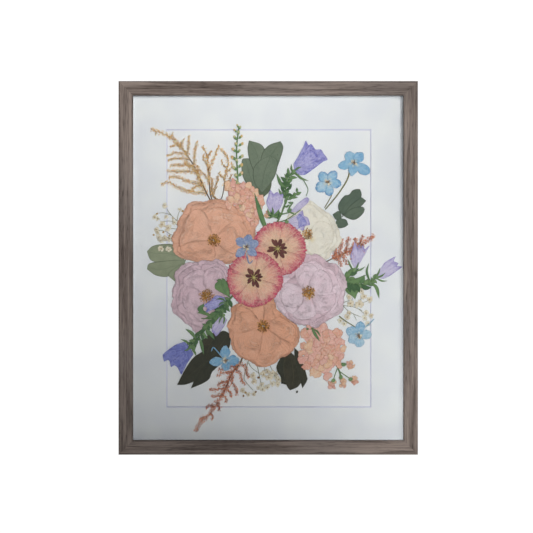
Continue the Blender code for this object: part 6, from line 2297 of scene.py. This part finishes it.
def middle_plants() -> list[Specimen]:
    """The plants between the lowest and the highest.

    Returns:
        The plants, the lowest first.
    """
    return [
        Delphinium("delphinium_right", "delphinium_right", (SKY_GREY, *DELPHINIUM), 31, (132, -99),
                   "136,-78 114,-89 117,-108 134,-116 151,-96", 13.5, "140,-88 149,-80 155,-74",
                   "103,-70 112,-77 126,-86 130,-91", 1.8),
        Parts("dark_leaves_left", "eucalyptus_bottom_left", (DARK_LEAF, BROWN_LEAF), 33, [
            blade("-56,-102", "-83,-95 -91,-102", "-62,-123 -82,-129 -97,-120", "-100,-107", 1),
            blade("-59,-108", "-82,-114 -97,-123 -110,-132 -123,-151",
                  "-70,-137 -81,-151 -100,-162 -119,-170", "-133,-171"),
            blade("-57,-111", "-73,-123 -95,-143 -105,-158", "-67,-137 -81,-151 -86,-162 -96,-169",
                  "-113,-176"),
            blade("-54,-97", "-67,-92 -81,-105 -88,-120", "-57,-117 -70,-135", "-91,-135"),
        ]),
        Parts("dark_leaves_right", "eucalyptus_bottom_right", (BROWN_LEAF, DARK_LEAF), 35, [
            blade("23,-123", "13,-141 13,-150 18,-159", "38,-137 41,-155 32,-170", "19,-169", 1),
            blade("30,-120", "23,-137 23,-155 27,-172", "46,-137 51,-155 45,-172", "32,-179"),
            blade("38,-116", "39,-135 44,-155", "47,-127 56,-156 57,-164", "50,-176", 1),
            Knot((42, -181), 1.5, 1.3, 1.0, 1),
        ]),
        Delphinium("delphinium_bottom", "delphinium_bottom", (SKY_DEEP, *DELPHINIUM), 37, (-62, -135),
                   "-63,-113 -86,-138 -61,-150 -42,-135", 12.5, "-65,-132 -72,-124 -80,-116 -83,-122"),
        Rose("rose_white", "white_rose", (WHITE_ROSE,), 41, (60, 47),
             "46,93 61,99 72,91 81,84 92,78 98,67 105,53 109,42 103,31 92,21 89,11 70,3 46,9 29,26 23,52 "
             "30,79",
             ((1.0, 7), (0.86, 5)), [
                  rose_petal((63, 41), "55,26 67,17 82,23 93,36 96,49 92,61 80,68 68,64 60,55", 0.3,
                             pleats=0.22, pleat_count=9.0, frill=0.0),
             ], Tuft((57, 49), 9.0, 80)),
        Parts("stock_lower", "lower_stock", (STOCK, STEM, GREEN_LEAF, STOCK_PINK, STOCK_PALE), 43, [
            stalk("55,-82 64,-92 79,-113 95,-135 103,-149 108,-167", 3.2, 1),
            stalk("99,-142 108,-139 117,-141", 1.6, 1), stalk("104,-151 114,-158 124,-165", 1.5, 1),
            stalk("101,-146 96,-161 94,-170", 1.5, 1),
            LeafySprig("55,-85 65,-94 73,-102", 4, 12.0, 4.0, (2,)),
            Cluster("42,-91 64,-83 83,-80 95,-88 110,-99 108,-111 116,-127 111,-137 101,-145 90,-158 "
                    "83,-160 73,-156 61,-150 51,-136 46,-120 52,-108", 36, 10.0, (0, 0, 3, 3, 4), 3),
            leaf("63,-87 68,-96 75,-107", 4.4, finish=2), leaf("64,-89 71,-92 77,-101", 2.6),
            Cluster("114,-136 122,-135 125,-143 117,-146", 6, 5.4, (0, 4, 3)),
            Cluster("89,-167 96,-165 98,-175 90,-175", 6, 5.0, (3, 4, 0)),
            Cluster("105,-159 112,-161 112,-174 105,-172", 7, 5.2, (4, 0)),
            Cluster("119,-161 128,-159 128,-170 121,-171", 6, 5.0, (0, 4)),
            Knot((110, -141), 2.8, 1.3, 0.2, 2), Knot((95, -164), 2.6, 1.3, 0.6, 2),
            Knot((106, -159), 2.6, 1.4, 1.5, 2), Knot((120, -162), 2.6, 1.3, 0.4, 2),
        ]),
        Rose("rose_peach_left", "peach_rose_left", (PEACH,), 45, (-80, 40),
             "-143,28 -141,46 -133,58 -132,69 -120,90 -110,97 -96,97 -81,100 -65,99 -44,90 -27,79 -16,55 "
             "-24,26 -47,9 -58,6 -85,4 -115,11 -131,16",
             ((1.0, 8), (0.92, 5), (0.8, 5)), (), Tuft((-79, 40), 10.0, 110)),
        Rose("rose_peach_bottom", "peach_rose_bottom", (PEACH_DEEP,), 47, (-7, -85),
             "-35,-46 -54,-58 -54,-70 -62,-85 -60,-97 -55,-104 -53,-116 -42,-131 -28,-136 -15,-144 -2,-145 "
             "11,-140 19,-131 29,-128 40,-117 46,-103 44,-85 33,-77 22,-68 13,-58 6,-42 -15,-38",
             ((1.0, 8), (0.93, 6)), (), Tuft((-7, -85), 9.6, 104)),
        Parts("campanula_right", "campanula_right_stem", (STEM, GREEN_LEAF, DEEP_GREEN), 49, [
            stalk("99,-28 112,-25 127,-24 141,-24 149,-21 159,-13", 2.6),
            stalk("111,-26 117,-14 125,-2", 2.4), leaf("149,-21 144,-6 147,7", 3.4),
            leaf("149,-21 158,-29 162,-45", 5.0),
            blade("115,-25", "114,-35 122,-41", "133,-26 133,-32 130,-38", "127,-46", 1),
            LeafySprig("106,-26 117,-25 128,-24 140,-24", 9, 13.0, 5.0, (1, 2)),
            LeafySprig("111,-24 117,-15 122,-6", 6, 12.0, 4.6, (1, 2)),
            LeafySprig("143,-24 149,-21 155,-16", 4, 8.0, 3.0, (1,)), leaf("117,-21 106,-14 106,-4", 7.0),
            leaf("114,-21 130,-18 143,-10", 6.4),
        ]),
        Parts("bell_right_lower", "campanula_right_bell_lower", (VIOLET_PALE, GREEN_LEAF), 51, [
            bell((128, -3), "122,7 120,19 126,38 130,30 132,35 135,29 138,34 141,27 148,33 141,19 134,7",
                 0.5, 0.3, 5.0),
            leaf("125,-4 120,3 116,13", 2.6), leaf("126,-3 130,2 132,9", 2.6),
            leaf("126,-4 134,-3 142,2", 2.6), Knot((125, -3), 2.6, 1.2, 1.2, 1),
        ]),
        Parts("bell_right_upper", "campanula_right_bell_upper", (VIOLET_PALE, GREEN_LEAF), 53, [
            bell((158, -14), "161,-6 170,8 186,17 183,10 190,7 188,3 196,2 194,0 177,-12 168,-16", 0.5, 0.3,
                 5.0),
            leaf("157,-14 161,-7 163,0", 2.6), leaf("157,-14 165,-12 171,-7", 2.6),
            leaf("157,-15 166,-19 174,-19", 2.6), Knot((158, -14), 2.6, 1.2, 0.6, 1),
        ]),
    ]


def upper_plants() -> list[Specimen]:
    """The plants that lie highest.

    Returns:
        The plants, the lowest first.
    """
    return [
        Parts("stock_upper", "upper_stock",
              (STOCK, STEM, BUD_GREEN, CREAM, STOCK_PALE, STOCK_PINK, GREEN_LEAF), 61, [
            stalk("-37,87 -43,114 -45,143 -46,174 -43,204", 2.6, 1),
            *(piece for spot in (
                ((-43, 196), (-49, 201), 1.6, 2.2, 0), ((-43, 201), (-41, 205), 1.8, 1.0, 2),
                ((-43, 203), (-45, 208), 1.4, 2.2, 2), ((-45, 186), (-49, 191), 1.9, 2.2, 2),
                ((-44, 188), (-39, 192), 1.9, 1.0, 0), ((-44, 193), (-43, 198), 1.8, 1.0, 2),
                ((-46, 176), (-47, 181), 1.9, 2.2, 2), ((-45, 177), (-38, 181), 2.0, 1.0, 0),
                ((-46, 168), (-51, 173), 2.2, 2.2, 0), ((-46, 167), (-42, 171), 1.9, 1.0, 2),
                ((-45, 159), (-38, 163), 2.2, 1.0, 2), ((-45, 157), (-52, 161), 2.4, 2.2, 0),
                ((-45, 152), (-46, 157), 1.9, 2.2, 2), ((-45, 146), (-39, 150), 2.3, 1.0, 0),
                ((-45, 142), (-50, 146), 2.4, 2.2, 2), ((-44, 130), (-47, 135), 2.4, 2.2, 2),
                ((-44, 133), (-39, 138), 2.4, 1.0, 0), ((-44, 123), (-51, 128), 2.6, 2.2, 5),
            ) for piece in bud(*spot)),
            LeafySprig("-45,131 -44,120 -40,93", 6, 9.0, 3.4, (2,)),
            Cluster("-62,120 -44,128 -27,128 -16,114 -18,99 -8,101 -9,87 -15,79 -9,67 -24,60 -32,68 -37,80 "
                    "-41,92 -59,93", 22, 9.6, (0, 4, 5, 0), 5),
            *floret((-43, 92), 6.5, 0, 2, 0.9), *floret((-56, 105), 7.5, 5, 2, 1.2),
            *floret((-50, 102), 9.4, 4, 2, 0.4), *floret((-27, 114), 8.0, 0, 2, 0.2),
            *floret((-20, 67), 6.5, 0, 2, 0.7), Cluster("-6,83 0,83 0,74 -6,74", 4, 4.0, (0, 4)),
        ]),
        Rose("rose_lilac_left", "lilac_rose_left", (LILAC,), 63, (-90, -40),
             "-123,6 -110,12 -94,12 -82,10 -74,13 -58,3 -48,-18 -57,-47 -72,-64 -87,-80 -94,-91 -102,-96 "
             "-111,-92 -121,-84 -128,-74 -139,-65 -142,-52 -141,-36 -136,-19 -137,-8",
             ((1.0, 8), (0.9, 6), (0.74, 5)), [
                  rose_petal((-88, -35), "-95,-24 -94,-9 -85,0 -72,1 -63,-10 -62,-28 -72,-37"),
             ], Tuft((-90, -41), 10.8, 124)),
        Rose("rose_lilac_right", "lilac_rose_right", (LILAC_PALE, LILAC), 65, (60, -37),
             "7,-39 17,-14 37,-4 49,15 62,23 76,18 88,8 101,5 113,-16 117,-35 111,-50 107,-65 79,-82 69,-89 "
             "58,-86 41,-82 33,-77 20,-68 13,-56",
             ((1.0, 8), (0.8, 5)), [
                  rose_petal((58, -43), "46,-56 36,-70 49,-76 65,-72 73,-63", 0.3),
                  rose_petal((63, -41), "70,-66 80,-67 92,-60 98,-50 99,-37", 0.3),
                  rose_petal((55, -40), "50,-50 46,-56 36,-58 26,-56 20,-49 19,-38 23,-26"),
                  rose_petal((56, -32), "49,-31 42,-18 40,-4 49,6 62,7 73,-3 70,-18"),
                  rose_petal((63, -34), "59,-24 63,-13 71,-4 79,-3 88,-10 93,-20 94,-32 87,-40 73,-41"),
             ], Tuft((59, -36), 10.0, 112)),
        Parts("campanula_top", "campanula_top_stem",
              (STEM, GREEN_LEAF, VIOLET_PALE, VIOLET, VIOLET_DARK, DEEP_GREEN), 67, [
            stalk("0,41 16,72 22,86 26,101 26,127 36,140", 3.0), stalk("51,129 58,115 55,104", 1.4),
            stalk("36,139 44,134 51,129", 1.6), stalk("9,66 26,70 48,85", 1.8), stalk("31,103 44,111", 1.6),
            stalk("17,71 11,74 6,79", 2.0), stalk("19,78 31,81 38,85", 2.0),
            LeafySprig("26,99 26,120 32,137", 12, 12.0, 3.6, (1, 5)),
            LeafySprig("19,76 11,78 6,80", 7, 10.0, 3.4, (1, 5)),
            LeafySprig("22,89 35,102 44,112", 5, 9.0, 3.0, (1,)), leaf("4,47 -7,66 -20,109", 7.4),
            leaf("27,117 19,122 12,138", 5.0), leaf("26,101 20,106 15,116", 3.8),
            leaf("26,99 36,103 44,112", 3.4),
            bell((32, 82), "35,84 42,93 52,101 57,103 60,100 58,95 49,87 41,81", 0.6, 0.25, finish=2),
            Knot((31, 84), 2.8, 1.4, 0.5, 1), leaf("29,82 35,80 41,77", 2.4), leaf("29,83 32,90 37,95", 2.4),
            bell((29, 67), "30,71 41,77 50,84 52,76 58,73 61,63 54,61 51,54 44,57 41,52 33,61", 0.5, 0.3,
                 finish=2),
            bell((44, 67), "41,74 46,79 53,72 57,65 49,60 44,58", 0.5, 0.3, finish=3),
            Knot((27, 67), 2.4, 1.3, 0.2, 1),
        ]),
        Parts("bell_top", "campanula_top_bell", (VIOLET, GREEN_LEAF), 69, [
            bell((38, 142), "37,152 46,167 52,179 55,186 59,179 63,181 69,173 77,173 81,167 87,158 80,155 "
                            "67,145 54,136 45,136", 0.55, 0.35, 7.0),
            bell((41, 144), "42,153 49,165 60,172 68,169 73,160 67,150 55,141 46,139", 0.7, 0.3, 5.0),
            leaf("38,139 34,144 34,152", 3.0), leaf("39,140 48,131 59,127", 3.4),
            leaf("38,141 44,146 49,147", 3.0), Knot((37, 140), 3.0, 1.2, 0.9, 1),
        ]),
        Parts("bell_top_pale", "campanula_top_pale_bell", (VIOLET_PALE, GREEN_LEAF), 71, [
            bell((8, 78), "1,85 -3,95 0,105 3,114 8,108 13,111 18,107 22,108 21,95 16,84", 0.55, 0.3, 5.0),
            leaf("7,76 1,80 -1,87", 3.0), leaf("7,76 7,82 6,89", 3.0), leaf("7,76 13,80 16,86", 3.0),
            leaf("7,76 2,73 -2,74", 2.6), Knot((7, 76), 2.4, 1.2, 0.9, 1),
        ]),
        Parts("campanula_left", "campanula_left_stem",
              (STEM, GREEN_LEAF, VIOLET_PALE, VIOLET, DEEP_GREEN), 73, [
            stalk("-41,-29 -55,-44 -63,-54 -72,-64 -80,-72 -85,-83 -92,-90 -104,-104 -113,-113", 3.2),
            LeafySprig("-55,-44 -67,-59 -79,-72", 12, 14.0, 4.6, (1, 4)),
            LeafySprig("-79,-70 -86,-83 -95,-94", 7, 12.0, 4.0, (1, 4)),
            LeafySprig("-53,-35 -62,-26 -67,-19", 5, 10.0, 4.4, (1, 4)),
            LeafySprig("-95,-94 -105,-105 -111,-113", 7, 11.0, 3.6, (1, 4)),
            leaf("-105,-104 -112,-95 -121,-89", 4.8), leaf("-100,-101 -97,-113 -94,-127", 4.8),
            leaf("-92,-89 -85,-95 -78,-105", 5.2), stalk("-98,-74 -85,-74", 1.8),
            blade("-56,-43", "-74,-33", "-59,-26 -68,-18 -77,-23", "-78,-29", 1),
            blade("-56,-44", "-67,-29 -68,-19", "-57,-29", "-64,-17", 1),
            blade("-80,-73", "-98,-67", "-87,-66 -96,-62", "-104,-66", 1),
            blade("-91,-67", "-102,-63 -102,-57", "-95,-59 -93,-56", "-94,-52", 1),
            bell((-61, -49), "-64,-43 -75,-40 -87,-49 -94,-55 -89,-59 -91,-65 -83,-62 -76,-59 -68,-54", 0.55,
                 0.3, finish=3),
            leaf("-61,-49 -69,-45 -76,-46", 2.8), leaf("-61,-49 -68,-51 -73,-55", 2.8),
            bell((-65, -70), "-71,-72 -78,-80 -82,-88 -82,-93 -79,-96 -76,-100 -71,-95 -64,-85 -60,-76",
                 0.55, 0.3, finish=2),
            leaf("-65,-69 -70,-75 -72,-82", 2.6), leaf("-65,-69 -64,-76 -66,-83", 2.6),
            Knot((-65, -69), 2.4, 1.2, 1.4, 1),
        ]),
        Parts("bell_left", "campanula_left_bell", (VIOLET_DARK, GREEN_LEAF), 75, [
            bell((-114, -116), "-122,-108 -135,-112 -149,-122 -154,-127 -152,-137 -148,-134 -144,-136 "
                               "-142,-145 -137,-142 -132,-146 -127,-156 -122,-147 -118,-139 -109,-126", 0.5,
                 0.35, 7.0),
            leaf("-113,-115 -119,-108 -128,-104", 3.2), leaf("-113,-116 -119,-120 -123,-121", 3.0),
            leaf("-113,-116 -108,-122 -105,-129", 3.2), Knot((-113, -115), 3.2, 1.2, 0.8, 1),
        ]),
        Ranunculus("ranunculus_upper", "ranunculus_upper", (CRIMSON, STAR, RAYS), 77, (14, 28),
                   "14,67 33,63 46,51 54,35 53,14 44,0 27,-10 9,-10 -9,-3 -20,12 -23,32 -16,51 -3,62"),
        Ranunculus("ranunculus_lower", "ranunculus_lower", (CRIMSON, STAR, RAYS), 79, (-21, -14),
                   "-22,24 -3,20 11,9 20,-6 21,-24 11,-41 -5,-53 -24,-57 -41,-51 -54,-38 -59,-18 -56,2 "
                   "-41,17"),
        Delphinium("delphinium_centre", "delphinium_centre", (SLATE, *DELPHINIUM), 81, (-32, 30),
                   "-46,43 -27,49 -14,38 -17,18 -47,16", 11.5, "-32,23 -28,7 -22,11"),
    ]


def main() -> None:
    """Build the frame, press the flowers into it and set up the picture."""
    logging.basicConfig(level=logging.INFO, format="%(name)s: %(message)s")
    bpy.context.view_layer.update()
    Moulding().build()
    mat = Mat()
    mat.build()
    Packing().build()
    bed = HeightField(mat.width, mat.height)
    for inset, level in ((1.5, -0.3), (3.0, -0.6), (4.5, -0.9)):
        low, high = [value + inset for value in mat.low], [value - inset for value in mat.high]
        bed.lay_floor(low, high, level)
    press = Press(bed)
    for specimen in lower_plants() + middle_plants() + upper_plants():
        specimen.build(press)
    LOG.info("highest point %.2f mm above the mat", settled(np.array(press.highest)))
    Studio().build()


if __name__ == "__main__":
    main()
